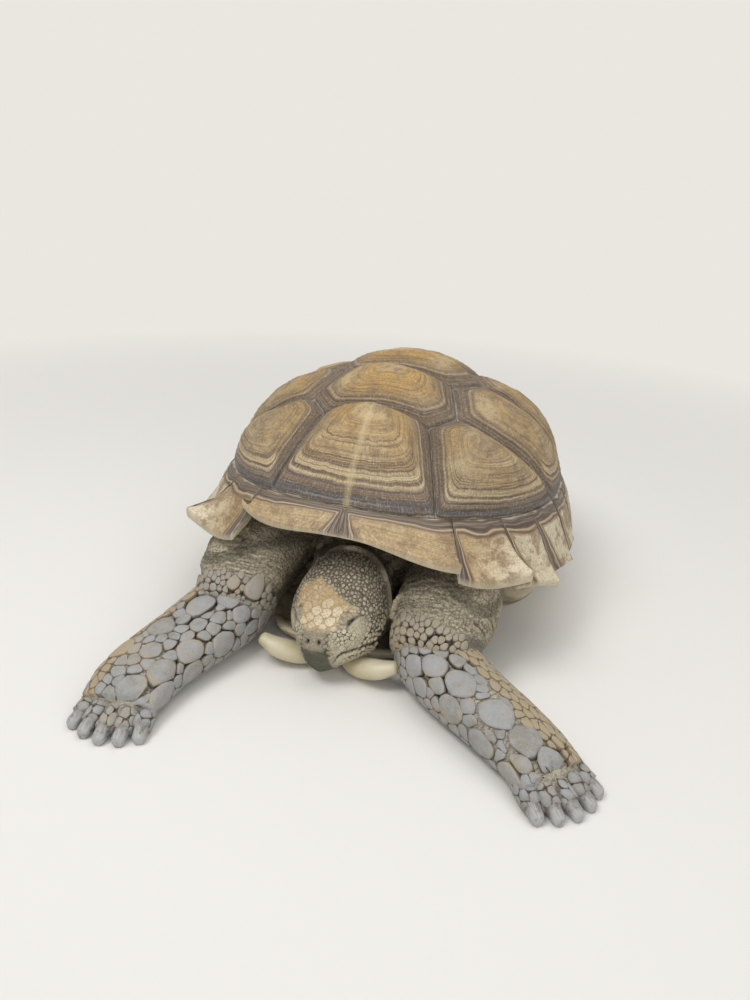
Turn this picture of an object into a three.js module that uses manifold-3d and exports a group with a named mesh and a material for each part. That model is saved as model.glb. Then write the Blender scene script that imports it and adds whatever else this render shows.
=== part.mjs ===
// A sulcata tortoise lying on its plastron with both forelegs stretched forward.
// Units are millimetres. The animal faces -Y, its left side is +X, the floor is z = 0 and the
// origin is the middle of the plastron's flat underside.

import * as THREE from "three";
import { mergeVertices } from "three/addons/utils/BufferGeometryUtils.js";
import Module from "manifold-3d";

const wasm = await Module();
wasm.setup();

// ---------------------------------------------------------------- driving dimensions

const GAP = 0.3; // clear space between neighbouring solids

// Carapace dome: half width, the two half lengths, the crown's height and the rim's height.
const DOME = {
  halfWidth: 249,
  frontLength: 304,
  rearLength: 321,
  crownHeight: 301,
  rimHeight: { front: 112, side: 88, rear: 85 },
  sweep: { front: 61.7, side: 81, rear: 78 }, // degrees of arc from the crown to the rim
  squareness: 2.17, // superellipse power of the plan outline
  fullness: 0.88, // power of the cosine that gives the height
  nose: 0.07, // the dome climbs this much per millimetre towards the front
};
const PLATE = 8; // thickness of a shell plate
const PLATE_SEAT = 4.5; // how much less deep the middle of a plate's underside is
const TRUNK_DEPTH = 16; // depth of the trunk's upper side under the dome
const MARGIN = 0.8; // share of the crown-to-rim sweep where the marginals begin
const RIM_STEP = 9; // largest step between rim sections, degrees

// Seams on the dome's map. X is to the left, Y to the rear, and the rim is the unit circle.
const VERTEBRAL_ROWS = [-0.43, -0.13, 0.16, 0.45]; // seams between neighbouring vertebrals
const VERTEBRAL_NECKS = [0.22, 0.21, 0.2, 0.18]; // half widths of those seams
const VERTEBRAL_WAIST = 0.295; // half width where a costal seam meets the vertebrals
const WAIST_ROWS = [-0.31, 0.03, 0.32];
const COSTAL_SEAM_ANGLES = [26.5, 73, 97, 122, 150]; // where those seams meet the marginals
const MARGINAL_SEAM_ANGLES = [0, 31.5, 47.5, 60.5, 75, 88, 100, 112, 125, 139, 153, 168];
const VERTEBRAL_AREOLAE = [-0.52, -0.24, 0.03, 0.31, 0.6];
const COSTAL_AREOLAE = [[0.42, -0.47], [0.5, -0.12], [0.5, 0.16], [0.42, 0.43]];
const VERTEBRAL_CROWN = 20; // how far each plate's oldest field stands proud
const COSTAL_CROWN = 15;
const PLATE_RINGS = [0.74, 0.46, 0.2]; // shares of the way from the areola to the seam
const PLATE_CURVE = 1.8; // power of the fall from the areola to the seam
const SEAM_STEP = 0.13; // step along a seam on the map
const SEAM_INSET = GAP * 0.6; // each plate stops this far from its seams

// Marginal lips, from the front to the tail: reach of the rear corner outwards and upwards, the
// reach at the front corner, and where each lip ends on the sweep.
const LIP_OUT = [15, 37, 28, 17, 9, 7, 7, 9, 17, 24, 20, 8];
const LIP_UP = [26, 34, 0, -2, 0, 0, 0, 2, 6, 10, 8, 0];
const LIP_OUT_ROOT = [3, 10, 14, 12, 8, 6, 6, 6, 8, 9, 9, 8];
const LIP_UP_ROOT = [3, 10, 4, 0, 0, 0, 0, 0, 2, 2, 2, 0];
const LIP_THICK = [13, 15, 12, 8, 6, 5, 5, 5, 6, 7, 7, 5]; // how thick the rear corner is
const LIP_THICK_ROOT = [6, 10, 10, 8, 6, 5, 5, 5, 6, 6, 6, 5];
const LIP_LEAN = [0.8, 0.9, 0.7, 0.3, 0, 0, 0, 0, 0.1, 0.2, 0.2, 0]; // share that hangs upright
const RIGHT_FIRST_LIP = { out: -6, up: 50 }; // the right first marginal curls up to a spike
const NOTCH = { depth: 0.115, from: 4, to: 42 }; // the rim is cut back over the neck
const HORN_CURVE = 2.4; // power by which a lip grows from its front corner to its rear one
const FLARE_CURVE = 2.2; // power by which the flare grows from the costals to the lip

// Section of a marginal: how far along from the costals to the lip, how deep under the dome, how
// that depth changes for each millimetre that the cutter is fatter, and how many lips deeper.
const MARGIN_SECTION = [[0, 8, 2, 0], [0, 0, -1, 0], [0.35, -2.2, -1, 0], [0.7, -1.5, -1, 0],
  [1, 0.5, -1, 0], [1, 0, 1, 1], [0.72, 13, 2, 0], [0.35, 12, 2, 0]];
const CUTTER_REACH = 0.02; // share by which a fatter rim reaches past its lip, per millimetre
const CUTTER_LAP = 0.25; // degrees by which the cutter's pieces lap over their ends

// Plastron outline as shares of the rim's plan radius, by angle from the front.
const BELLY_EDGE = [[0, 0.93], [18, 0.91], [40, 0.74], [57, 0.7], [68, 0.95], [114, 0.95],
  [126, 0.72], [146, 0.7], [168, 0.79], [180, 0.75]];
const BELLY_FLAT = [[0, 0.82], [18, 0.8], [40, 0.64], [57, 0.6], [68, 0.62], [114, 0.62],
  [126, 0.62], [146, 0.6], [168, 0.68], [180, 0.64]];
const BRIDGE = { from: [55, 69], to: [113, 127] }; // angles where the bridge rises and falls
const BELLY_RIM = 19; // height of the plastron's free edge
const BELLY_THICK = 12;
const BRIDGE_CLEAR = 13; // the bridge stops this far under the marginals
const MOUTH = { share: 0.66, low: 0.8, wall: 0.9 }; // how far the trunk's skin is drawn in

// Horns of the gular scute, from root to tip, for the left side.
const GULAR_PATH = [[16, -270, 12], [34, -296, 14], [60, -307, 22], [83, -307, 31]];
const GULAR_HALF_WIDTH = [16, 15, 13, 6];
const GULAR_HALF_DEPTH = [9, 11, 11, 5.5];

// Head: its frame, then sections along it as [forward, half width, top, bottom, power].
const HEAD = { at: [0, -269, 55.5], yaw: -7, pitch: 10, roll: 11.5 };
const HEAD_SECTIONS = [
  [-76, 37, 52, -28, 2.3],
  [-54, 46, 58, -40, 2.3],
  [-30, 54, 61, -48, 2.4],
  [-8, 58, 54, -49, 2.5],
  [12, 56.5, 40.5, -46, 2.5],
  [29, 48, 31, -39.5, 2.5],
  [44, 36, 24.5, -33.5, 2.5],
  [56, 25.5, 17.5, -31, 2.5],
  [64, 15, 9.5, -27.5, 2.4],
];
const HEAD_TIP = [67, -8];
const EYE = { at: [27, 31.5, 17.5], radius: 9.5 };

// The neck's upright slices, from the collar of loose skin behind the head into the shell, as
// [x, y, z, half width, half height]. Their tops lean back.
const NECK_SLICES = [[-8, -226, 56, 44, 44], [-8, -214, 60, 55, 50], [-7, -192, 66, 58, 48],
  [-3, -160, 77, 54, 44], [0, -122, 87, 48, 40]];
const NECK_LEAN = 14;

// Limbs as [x, y, z, half width, half depth] for each side, from the body outwards.
const UPPER_ARM_LEFT = [[112, -110, 92, 50, 46], [118, -165, 88, 58, 50], [122, -215, 74, 60, 52],
  [118, -258, 56, 56, 48], [112, -288, 44, 46, 40]];
const UPPER_ARM_RIGHT = [[-112, -110, 92, 50, 46], [-128, -160, 88, 58, 50],
  [-138, -205, 76, 60, 52], [-138, -245, 60, 55, 48], [-136, -276, 46, 46, 40]];
const FOREARM_LEFT = [[102, -254, 38, 36, 30], [118, -282, 37, 42, 34], [147, -310, 34, 43, 32],
  [181, -336, 30, 41, 29], [214, -360, 26, 40, 26], [242, -381, 21, 39, 22], [265, -404, 16, 37, 17]];
const FOREARM_RIGHT = [[-132, -242, 40, 40, 32], [-140, -272, 38, 48, 36], [-150, -308, 34, 48, 33],
  [-162, -346, 30, 46, 29], [-174, -386, 26, 44, 26], [-180, -422, 21, 44, 22],
  [-178, -456, 16, 40, 16]];
const THIGH = [[96, 150, 70, 46, 44], [124, 190, 62, 50, 46], [148, 226, 52, 46, 42],
  [160, 252, 44, 40, 36]];
const SHANK = [[160, 214, 48, 36, 38], [172, 238, 42, 40, 40], [182, 264, 33, 42, 33],
  [188, 286, 25, 41, 25], [190, 298, 20, 37, 20]];
const TAIL = [[0, 205, 44, 34, 30], [-2, 244, 36, 29, 26], [-8, 274, 27, 21, 20],
  [-18, 300, 16, 13, 13], [-28, 318, 9, 6, 6]];

// Claws: fan across the foot as [sideways, forward, turn in degrees], with one size per foot.
const FORE_CLAWS = [[-29, -12, -14], [-15.5, -4, -7], [0, 0, 0], [15.5, -3, 7], [29, -11, 14]];
const HIND_CLAWS = [[-26, -10, -14], [-9, -4, -5], [9, -4, 5], [26, -10, 14]];
const FORE_CLAW = { length: 38, radius: 7.8, height: 10.5 };
const HIND_CLAW = { length: 33, radius: 9.5, height: 11 };
const SPURS = [[150, 214, 70, 26, 10], [166, 222, 50, 24, 10], [136, 226, 84, 18, 8]];

// Superellipse powers of the sections: 2 is an oval and more is squarer.
const ROUND = 2.2;
const LEG_POWER = 2.3;
const FOREARM_POWER = 2.6;
const SHANK_POWER = 2.4;

const FLESH_SIDES = 14;
const HEAD_SIDES = 18;
const TAIL_SIDES = 12;
const CLAW_SIDES = 6;
const GULAR_SIDES = 10;
const TRUNK_STEP = 12; // degrees between the trunk's sections

const COLOURS = {
  shell: 0xb79c6c,
  margin: 0xd0b988,
  belly: 0xd6c690,
  horn: 0xe0d7ae,
  flesh: 0x85795f,
  forearm: 0x96928a,
  eye: 0x17120e,
};

// ---------------------------------------------------------------- small maths

const rad = (turn) => (turn * Math.PI) / 180;
const mix = (a, b, t) => a + (b - a) * t;
const clamp = (x, low, high) => Math.min(high, Math.max(low, x));
const degrees = (length, radius) => (length * 180) / (Math.PI * radius);
const smooth = (from, to, x) => {
  const t = clamp((x - from) / (to - from), 0, 1);
  return t * t * (3 - 2 * t);
};
const vector = (p) => new THREE.Vector3(p[0], p[1], p[2]);

// Value of a list of [position, value] pairs at x, eased between neighbours.
function along(pairs, x) {
  let value = pairs[0][1];
  for (let i = 0; i + 1 < pairs.length; i += 1) {
    value = mix(value, pairs[i + 1][1], smooth(pairs[i][0], pairs[i + 1][0], x));
  }
  return value;
}

// ---------------------------------------------------------------- the dome

// Front, side and rear values joined round the plan by the squared cosine of the angle.
function roundPlan(values, angle) {
  const c = Math.cos(angle);
  const ahead = Math.max(c, 0) ** 2;
  const behind = Math.max(-c, 0) ** 2;
  return values.side + (values.front - values.side) * ahead + (values.rear - values.side) * behind;
}

// Plan of the rim as a vector, for an angle from the front.
function rimPlan(angle) {
  const s = Math.sin(angle);
  const c = -Math.cos(angle);
  const power = DOME.squareness;
  const stretch = (Math.abs(s) ** power + Math.abs(c) ** power) ** (-1 / power);
  const length = c < 0 ? DOME.frontLength : DOME.rearLength;
  return [DOME.halfWidth * stretch * s, length * stretch * c];
}

// Point of the dome over map point X, Y: a sine of the sweep outwards and a cosine down.
function domePoint(mapX, mapY) {
  const share = Math.hypot(mapX, mapY);
  const angle = Math.atan2(mapX, -mapY);
  const sweep = rad(roundPlan(DOME.sweep, angle));
  const rim = roundPlan(DOME.rimHeight, angle);
  const turned = Math.min(share * sweep, Math.PI / 2);
  const low = Math.cos(sweep) ** DOME.fullness;
  const climb = (Math.cos(turned) ** DOME.fullness - low) / (1 - low);
  const radius = Math.sin(share * sweep) / Math.sin(sweep);
  const [planX, planY] = rimPlan(angle);
  const y = radius * planY;
  return new THREE.Vector3(radius * planX, y, mix(rim, DOME.crownHeight, climb) - DOME.nose * y);
}

function domeNormal(mapX, mapY) {
  const step = 0.002;
  const across = domePoint(mapX + step, mapY).sub(domePoint(mapX - step, mapY));
  const back = domePoint(mapX, mapY + step).sub(domePoint(mapX, mapY - step));
  return across.cross(back).normalize();
}

// Point at a height above the dome, or a depth under it.
function overDome(mapX, mapY, height) {
  return domePoint(mapX, mapY).addScaledVector(domeNormal(mapX, mapY), height);
}

const onMap = (angle, share) => [share * Math.sin(rad(angle)), -share * Math.cos(rad(angle))];

// ---------------------------------------------------------------- closed meshes

// Closed body from rings of equal length, the first and last ring closed by fans to two points.
function closedRings(rings, first, last) {
  const points = [first];
  for (const ring of rings) {
    points.push(...ring);
  }
  points.push(last);
  const sides = rings[0].length;
  const end = points.length - 1;
  const faces = [];
  for (let i = 0; i < sides; i += 1) {
    const next = (i + 1) % sides;
    faces.push(0, 1 + next, 1 + i);
    for (let k = 0; k + 1 < rings.length; k += 1) {
      const a = 1 + k * sides;
      const b = a + sides;
      faces.push(a + i, a + next, b + next);
      faces.push(a + i, b + next, b + i);
    }
    const tail = 1 + (rings.length - 1) * sides;
    faces.push(tail + i, tail + next, end);
  }
  return solidFrom(points, faces);
}

// Manifold solid from points and faces, turned right side out.
function solidFrom(points, faces) {
  const geometry = new THREE.BufferGeometry();
  const flat = points.flatMap((p) => [p.x, p.y, p.z]);
  geometry.setAttribute("position", new THREE.Float32BufferAttribute(flat, 3));
  geometry.setIndex(faces);
  const merged = mergeVertices(geometry, 1e-4);
  const vertProperties = new Float32Array(merged.attributes.position.array);
  const triVerts = dropFlat(merged.index.array);
  if (signedVolume(vertProperties, triVerts) < 0) {
    triVerts.reverse();
  }
  return new wasm.Manifold(new wasm.Mesh({ numProp: 3, vertProperties, triVerts }));
}

// Faces whose corners merged into one another are left out.
function dropFlat(index) {
  const kept = [];
  for (let i = 0; i < index.length; i += 3) {
    const [a, b, c] = [index[i], index[i + 1], index[i + 2]];
    if (a !== b && b !== c && c !== a) {
      kept.push(a, b, c);
    }
  }
  return new Uint32Array(kept);
}

function signedVolume(positions, index) {
  let total = 0;
  const corner = (i) => vector(positions.subarray(3 * i, 3 * i + 3));
  for (let i = 0; i < index.length; i += 3) {
    total += corner(index[i]).dot(corner(index[i + 1]).cross(corner(index[i + 2])));
  }
  return total / 6;
}

// The solid swollen about a point, so that its surface moves out by about GAP at that reach.
function swollen(solid, centre, reach) {
  const grow = 1 + (GAP + 0.1) / reach;
  const back = centre.map((value) => -value);
  return solid.translate(back).scale([grow, grow, grow]).translate(centre);
}

const mirrored = (solid) => solid.mirror([1, 0, 0]);

// The largest of the separate bodies that a cut leaves.
function mainBody(solid) {
  const bodies = solid.decompose();
  return bodies.reduce((best, body) => (body.volume() > best.volume() ? body : best));
}

// ---------------------------------------------------------------- shell plates

// Every angle at which the plates share a corner on the inner edge of the marginals.
function rimAngles() {
  const knots = [...MARGINAL_SEAM_ANGLES, ...COSTAL_SEAM_ANGLES, 180].sort((a, b) => a - b);
  const angles = [knots[0]];
  for (let i = 0; i + 1 < knots.length; i += 1) {
    const steps = Math.ceil((knots[i + 1] - knots[i]) / RIM_STEP);
    for (let k = 1; k <= steps; k += 1) {
      angles.push(mix(knots[i], knots[i + 1], k / steps));
    }
  }
  return angles;
}

const RIM_ANGLES = rimAngles();
const LAST_RIM = MARGINAL_SEAM_ANGLES.length - 1; // the supracaudal's place after the marginals
const anglesBetween = (from, to) => RIM_ANGLES.filter((a) => a > from - 1e-6 && a < to + 1e-6);
const marginArc = (from, to) => anglesBetween(from, to).map((a) => onMap(a, MARGIN));

// Straight seam on the map, in equal steps, without its last point.
function seam(from, to) {
  const length = Math.hypot(to[0] - from[0], to[1] - from[1]);
  const steps = Math.max(1, Math.round(length / SEAM_STEP));
  const points = [];
  for (let i = 0; i < steps; i += 1) {
    points.push([mix(from[0], to[0], i / steps), mix(from[1], to[1], i / steps)]);
  }
  return points;
}

// Each corner moved inwards, square to the two edges that meet there.
function inset(outline, distance) {
  const count = outline.length;
  let area = 0;
  outline.forEach((p, i) => {
    const q = outline[(i + 1) % count];
    area += p[0] * q[1] - q[0] * p[1];
  });
  const side = area > 0 ? distance : -distance;
  return outline.map((p, i) => {
    const before = outline[(i + count - 1) % count];
    const after = outline[(i + 1) % count];
    const inward = [0, 0];
    for (const [from, to] of [[before, p], [p, after]]) {
      const length = Math.hypot(to[0] - from[0], to[1] - from[1]);
      inward[0] -= (to[1] - from[1]) / length;
      inward[1] += (to[0] - from[0]) / length;
    }
    const scale = (2 * side) / (inward[0] ** 2 + inward[1] ** 2);
    return [p[0] + inward[0] * scale, p[1] + inward[1] * scale];
  });
}

// A vertebral or costal plate: it rises from its seams to its areola and is flat under.
function fieldPlate(outline, areola, crown) {
  const edge = inset(outline, SEAM_INSET / DOME.halfWidth);
  const ringAt = (share, height) => edge.map((p) => {
    const x = mix(areola[0], p[0], share);
    const y = mix(areola[1], p[1], share);
    return overDome(x, y, height);
  });
  const rings = [ringAt(1, -PLATE), ringAt(1, 0)];
  for (const share of PLATE_RINGS) {
    rings.push(ringAt(share, crown * (1 - share ** PLATE_CURVE)));
  }
  const under = overDome(areola[0], areola[1], PLATE_SEAT - PLATE);
  return closedRings(rings, under, overDome(areola[0], areola[1], crown));
}

const mapMirror = (points) => points.map(([x, y]) => [-x, y]);

// Outline that is the same on both sides, given from the front middle down the left side.
function bothSides(leftSide) {
  const right = mapMirror(leftSide).reverse();
  return [...leftSide, ...right].filter((p, i, all) => {
    const before = all[(i + all.length - 1) % all.length];
    return Math.hypot(p[0] - before[0], p[1] - before[1]) > 1e-6;
  });
}

const neckOf = (row) => [VERTEBRAL_NECKS[row], VERTEBRAL_ROWS[row]];
const waistOf = (row) => [VERTEBRAL_WAIST, WAIST_ROWS[row]];

function vertebralOutline(number) {
  const first = number === 0;
  const last = number === VERTEBRAL_ROWS.length;
  const start = first ? marginArc(0, COSTAL_SEAM_ANGLES[0]) : seam([0, VERTEBRAL_ROWS[number - 1]],
    neckOf(number - 1));
  const middleRear = [0, VERTEBRAL_ROWS[number]];
  const end = last ? marginArc(COSTAL_SEAM_ANGLES[4], 180)
    : [...seam(neckOf(number), middleRear), middleRear];
  let middle = [];
  if (first) {
    middle = seam(start.pop(), neckOf(0));
  } else if (last) {
    middle = seam(neckOf(number - 1), end[0]);
  } else {
    middle = [...seam(neckOf(number - 1), waistOf(number - 1)),
      ...seam(waistOf(number - 1), neckOf(number))];
  }
  return bothSides([...start, ...middle, ...end]);
}

function costalOutline(number) {
  const from = COSTAL_SEAM_ANGLES[number];
  const to = COSTAL_SEAM_ANGLES[number + 1];
  const front = number === 0 ? onMap(from, MARGIN) : waistOf(number - 1);
  const rear = number === 3 ? onMap(to, MARGIN) : waistOf(number);
  const neck = neckOf(number);
  const outline = [...seam(front, neck), ...seam(neck, rear)];
  if (number < 3) {
    outline.push(...seam(rear, onMap(to, MARGIN)));
  }
  outline.push(...marginArc(from, to).reverse());
  if (number > 0) {
    outline.push(...seam(onMap(from, MARGIN), front).slice(1));
  } else {
    outline.pop();
  }
  return outline;
}

// ---------------------------------------------------------------- marginals

// Where the rim ends on the sweep: the notch over the neck shortens it.
const rimEnd = (angle) => 1 - NOTCH.depth * (1 - smooth(NOTCH.from, NOTCH.to, angle));

// Section of a marginal at an angle. The share runs from 0 at its front seam to 1 at its rear
// one. The top runs from the costals to the lip and the underside back.
function marginSection(angle, number, share, grow, rightSide = false) {
  const start = MARGIN + (grow ? -0.004 : SEAM_INSET / DOME.halfWidth);
  const end = rimEnd(angle);
  const horn = share ** HORN_CURVE;
  const spiked = rightSide && number === 0;
  const reachOut = mix(LIP_OUT_ROOT[number], spiked ? RIGHT_FIRST_LIP.out : LIP_OUT[number], horn);
  const reachUp = mix(LIP_UP_ROOT[number], spiked ? RIGHT_FIRST_LIP.up : LIP_UP[number], horn);
  const thick = mix(LIP_THICK_ROOT[number], LIP_THICK[number], share);
  const plan = rimPlan(rad(angle));
  const outward = new THREE.Vector3(plan[0], plan[1], 0).normalize();
  const upright = vector([0, 0, 1]);
  const place = (run, depth, lip) => {
    const [x, y] = onMap(angle, mix(start, end, run));
    const normal = domeNormal(x, y);
    const inPlane = outward.clone().multiplyScalar(normal.dot(outward))
      .addScaledVector(upright, normal.z).normalize();
    const hanging = inPlane.clone().lerp(upright, LIP_LEAN[number]).normalize();
    const flare = run ** FLARE_CURVE;
    return domePoint(x, y).addScaledVector(inPlane, -depth)
      .addScaledVector(hanging, -lip)
      .addScaledVector(outward, reachOut * flare)
      .addScaledVector(upright, reachUp * flare);
  };
  return MARGIN_SECTION.map(([run, depth, change, lips]) => (
    place(run < 1 ? run : 1 + CUTTER_REACH * grow, depth + change * grow, lips * thick)));
}

// Lofts a plate through its sections, with flat ends.
function loft(sections) {
  const middle = (ring) => ring.reduce((sum, p) => sum.add(p), vector([0, 0, 0]))
    .divideScalar(ring.length);
  return closedRings(sections, middle(sections[0]), middle(sections[sections.length - 1]));
}

function marginalPlate(number, rightSide) {
  const from = MARGINAL_SEAM_ANGLES[number];
  const to = MARGINAL_SEAM_ANGLES[number + 1];
  const sections = anglesBetween(from, to).map((angle) => {
    const slack = degrees(SEAM_INSET, DOME.halfWidth);
    const kept = clamp(angle, from + slack, to - slack);
    return marginSection(kept, number, (angle - from) / (to - from), 0, rightSide);
  });
  return rightSide ? mirrored(loft(sections)) : loft(sections);
}

function supracaudalPlate() {
  const number = LAST_RIM;
  const slack = degrees(SEAM_INSET, DOME.halfWidth);
  const left = anglesBetween(MARGINAL_SEAM_ANGLES[number], 180).map((angle, i) => (
    marginSection(angle + (i === 0 ? slack : 0), number, 0, 0)));
  const right = left.slice(0, -1).reverse().map((ring) => ring.map((p) => (
    new THREE.Vector3(-p.x, p.y, p.z))));
  return loft([...left, ...right]);
}

// The whole rim a little fatter, for cutting the flesh under it.
function rimCutter() {
  const parts = [];
  for (const rightSide of [false, true]) {
    for (let number = 0; number <= LAST_RIM; number += 1) {
      const from = MARGINAL_SEAM_ANGLES[number];
      const to = MARGINAL_SEAM_ANGLES[number + 1] ?? 180;
      const angles = anglesBetween(from, to);
      const sections = angles.map((angle, i) => {
        const first = i === 0 ? CUTTER_LAP : 0;
        const last = i === angles.length - 1 ? CUTTER_LAP : 0;
        const share = number === LAST_RIM ? 0 : (angle - from) / (to - from);
        return marginSection(angle + last - first, number, share, GAP, rightSide);
      });
      parts.push(rightSide ? mirrored(loft(sections)) : loft(sections));
    }
  }
  return wasm.Manifold.union(parts);
}

// ---------------------------------------------------------------- plastron and trunk

// 1 along the bridge at the flank and 0 at the openings for the limbs, the neck and the tail.
const bridgeAt = (angle) => smooth(...BRIDGE.from, angle) - smooth(...BRIDGE.to, angle);

// Plan radius share, height and turn of the belly's outer profile. The turn runs from the
// flat underside at 0 to the upright edge at 90 degrees.
function bellyPoint(angle, turn, thick) {
  const bridge = bridgeAt(angle);
  const plan = rimPlan(rad(angle));
  const radius = Math.hypot(plan[0], plan[1]);
  const [edgeX, edgeY] = onMap(angle, rimEnd(angle));
  const edgeHeight = mix(BELLY_RIM, domePoint(edgeX, edgeY).z - BRIDGE_CLEAR, bridge);
  const flat = along(BELLY_FLAT, angle);
  const edge = along(BELLY_EDGE, angle);
  const across = mix(flat, edge, Math.sin(rad(turn))) * radius - thick * Math.sin(rad(turn));
  const height = edgeHeight * (1 - Math.cos(rad(turn))) + thick * Math.cos(rad(turn));
  return new THREE.Vector3((plan[0] / radius) * across, (plan[1] / radius) * across, height);
}

// One ring of the belly all the way round, at a turn of the profile.
function bellyRing(turn, thick, flatShare = 1) {
  const ring = [];
  for (let angle = 0; angle < 360; angle += TRUNK_STEP) {
    const folded = angle <= 180 ? angle : 360 - angle;
    const p = bellyPoint(folded, turn, thick);
    ring.push(new THREE.Vector3((angle <= 180 ? 1 : -1) * p.x * flatShare, p.y * flatShare, p.z));
  }
  return ring;
}

function plastronSolid(grow) {
  const rings = [];
  for (const turn of [0, 30, 60, 90]) {
    rings.push(bellyRing(turn, -grow));
  }
  for (const turn of [90, 60, 30, 0]) {
    rings.push(bellyRing(turn, BELLY_THICK + grow));
  }
  return closedRings(rings, vector([0, 0, -grow]), vector([0, 0, BELLY_THICK + grow]));
}

// The trunk fills the shell: the plates' inner side above, the plastron's below, and skin
// between them where the limbs come out.
function trunkSolid() {
  const inside = BELLY_THICK + GAP + 0.7;
  const ringOf = (pointAt) => {
    const ring = [];
    for (let angle = 0; angle < 360; angle += TRUNK_STEP) {
      const p = pointAt(angle <= 180 ? angle : 360 - angle);
      ring.push(angle <= 180 ? p : new THREE.Vector3(-p.x, p.y, p.z));
    }
    return ring;
  };
  const domeRing = (share) => ringOf((angle) => overDome(...onMap(angle, share), -TRUNK_DEPTH));
  const drawnIn = (share, angle) => mix(share, 1, bridgeAt(angle));
  const lowRing = (turn) => ringOf((angle) => {
    const pull = drawnIn(MOUTH.low, angle);
    return bellyPoint(angle, turn, inside).multiply(vector([pull, pull, 1]));
  });
  const top = ringOf((angle) => (
    overDome(...onMap(angle, mix(MOUTH.share, MARGIN, bridgeAt(angle))), -TRUNK_DEPTH)));
  const edge = lowRing(90);
  const wall = top.map((p, i) => {
    const angle = i * TRUNK_STEP;
    const pull = drawnIn(MOUTH.wall, angle <= 180 ? angle : 360 - angle) - 0.02;
    return p.clone().lerp(edge[i], 0.5).multiply(vector([pull, pull, 1]));
  });
  const rings = [bellyRing(0, inside, 0.5), lowRing(0), lowRing(30), lowRing(60), edge, wall, top,
    domeRing(0.6), domeRing(0.42), domeRing(0.2)];
  return closedRings(rings, vector([0, 0, inside]), overDome(0, 0, -TRUNK_DEPTH));
}

// ---------------------------------------------------------------- flesh

// Ring of a superellipse in a frame, flattened where it would pass the floor.
function ovalRing(centre, side, up, halfWidth, top, bottom, power, sides) {
  const ring = [];
  for (let i = 0; i < sides; i += 1) {
    const turn = (2 * Math.PI * i) / sides;
    const c = Math.cos(turn);
    const s = Math.sin(turn);
    const across = halfWidth * Math.sign(c) * Math.abs(c) ** (2 / power);
    const high = (s > 0 ? top : -bottom) * Math.sign(s) * Math.abs(s) ** (2 / power);
    const p = centre.clone().addScaledVector(side, across).addScaledVector(up, high);
    p.z = Math.max(p.z, 0);
    ring.push(p);
  }
  return ring;
}

// Frame of a path at a station: side is level, up is square to it and to the path.
function pathFrame(points, i) {
  const before = points[Math.max(i - 1, 0)];
  const after = points[Math.min(i + 1, points.length - 1)];
  const ahead = after.clone().sub(before).normalize();
  const side = ahead.clone().cross(vector([0, 0, 1])).normalize();
  return { ahead, side, up: side.clone().cross(ahead) };
}

// A limb: oval sections carried along a path, with rounded ends.
function limb(stations, power, grow = 0, sides = FLESH_SIDES) {
  const points = stations.map(vector);
  const rings = stations.map(([, , , halfWidth, halfDepth], i) => {
    const { side, up } = pathFrame(points, i);
    const high = halfDepth + grow;
    return ovalRing(points[i], side, up, halfWidth + grow, high, -high, power, sides);
  });
  const cap = (i, sign) => {
    const { ahead } = pathFrame(points, i);
    const reach = sign * (stations[i][4] * 0.5 + grow);
    const tip = points[i].clone().addScaledVector(ahead, reach);
    tip.z = Math.max(tip.z, 1);
    return tip;
  };
  return closedRings(rings, cap(0, -1), cap(stations.length - 1, 1));
}

// One blunt claw from inside the toe to its worn tip, level with the floor.
function claw(root, heading, size) {
  const side = vector([Math.cos(heading), Math.sin(heading), 0]);
  const ahead = vector([Math.sin(heading), -Math.cos(heading), 0]);
  const up = vector([0, 0, 1]);
  const rings = [0, 0.45, 0.85, 1].map((share) => {
    const drop = size.height * (1 - share ** 1.6 * 0.5);
    const centre = vector([root[0], root[1], drop]).addScaledVector(ahead, size.length * share);
    const radius = size.radius * (1 - 0.42 * share ** 1.5);
    return ovalRing(centre, side, up, radius, drop * 0.95, -drop, 2.3, CLAW_SIDES);
  });
  const start = vector([root[0], root[1], size.height]).addScaledVector(ahead, -2);
  const tip = vector([root[0], root[1], size.height * 0.42])
    .addScaledVector(ahead, size.length * 1.06);
  return closedRings(rings, start, tip);
}

// A foot with its claws fanned across the end of the path.
function withClaws(stations, power, claws, size) {
  const end = stations[stations.length - 1];
  const before = stations[stations.length - 2];
  const heading = Math.atan2(end[0] - before[0], before[1] - end[1]);
  let foot = limb(stations, power);
  for (const [sideways, forward, turn] of claws) {
    const x = end[0] + sideways * Math.cos(heading) + forward * Math.sin(heading);
    const y = end[1] + sideways * Math.sin(heading) - forward * Math.cos(heading);
    foot = foot.add(claw([x, y], heading + rad(turn), size));
  }
  return foot;
}

// A conical spur that points backwards from the thigh.
function spur([x, y, z, length, radius]) {
  const side = vector([1, 0, 0]);
  const up = vector([0, 0, 1]);
  const rings = [0, 0.5, 0.9].map((share) => {
    const centre = vector([x + 6 * share, y + length * share, z - 6 * share]);
    const size = radius * (1 - 0.85 * share);
    return ovalRing(centre, side, up, size, size, -size, 2, CLAW_SIDES);
  });
  return closedRings(rings, vector([x, y - 4, z]), vector([x + 7, y + length, z - 7]));
}

// Frame of the head: forward, to its left and up.
function headFrame() {
  const turn = new THREE.Matrix4().makeRotationZ(rad(HEAD.yaw))
    .multiply(new THREE.Matrix4().makeRotationX(rad(HEAD.pitch)))
    .multiply(new THREE.Matrix4().makeRotationY(rad(-HEAD.roll)));
  const [left, back, up] = [0, 1, 2].map((i) => new THREE.Vector3().setFromMatrixColumn(turn, i));
  return { forward: back.negate(), left, up };
}

// Point of the head's own frame, given forward, left and up.
function inHead(forward, left, up) {
  const frame = headFrame();
  return vector(HEAD.at).addScaledVector(frame.forward, forward)
    .addScaledVector(frame.left, left).addScaledVector(frame.up, up);
}

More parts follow.
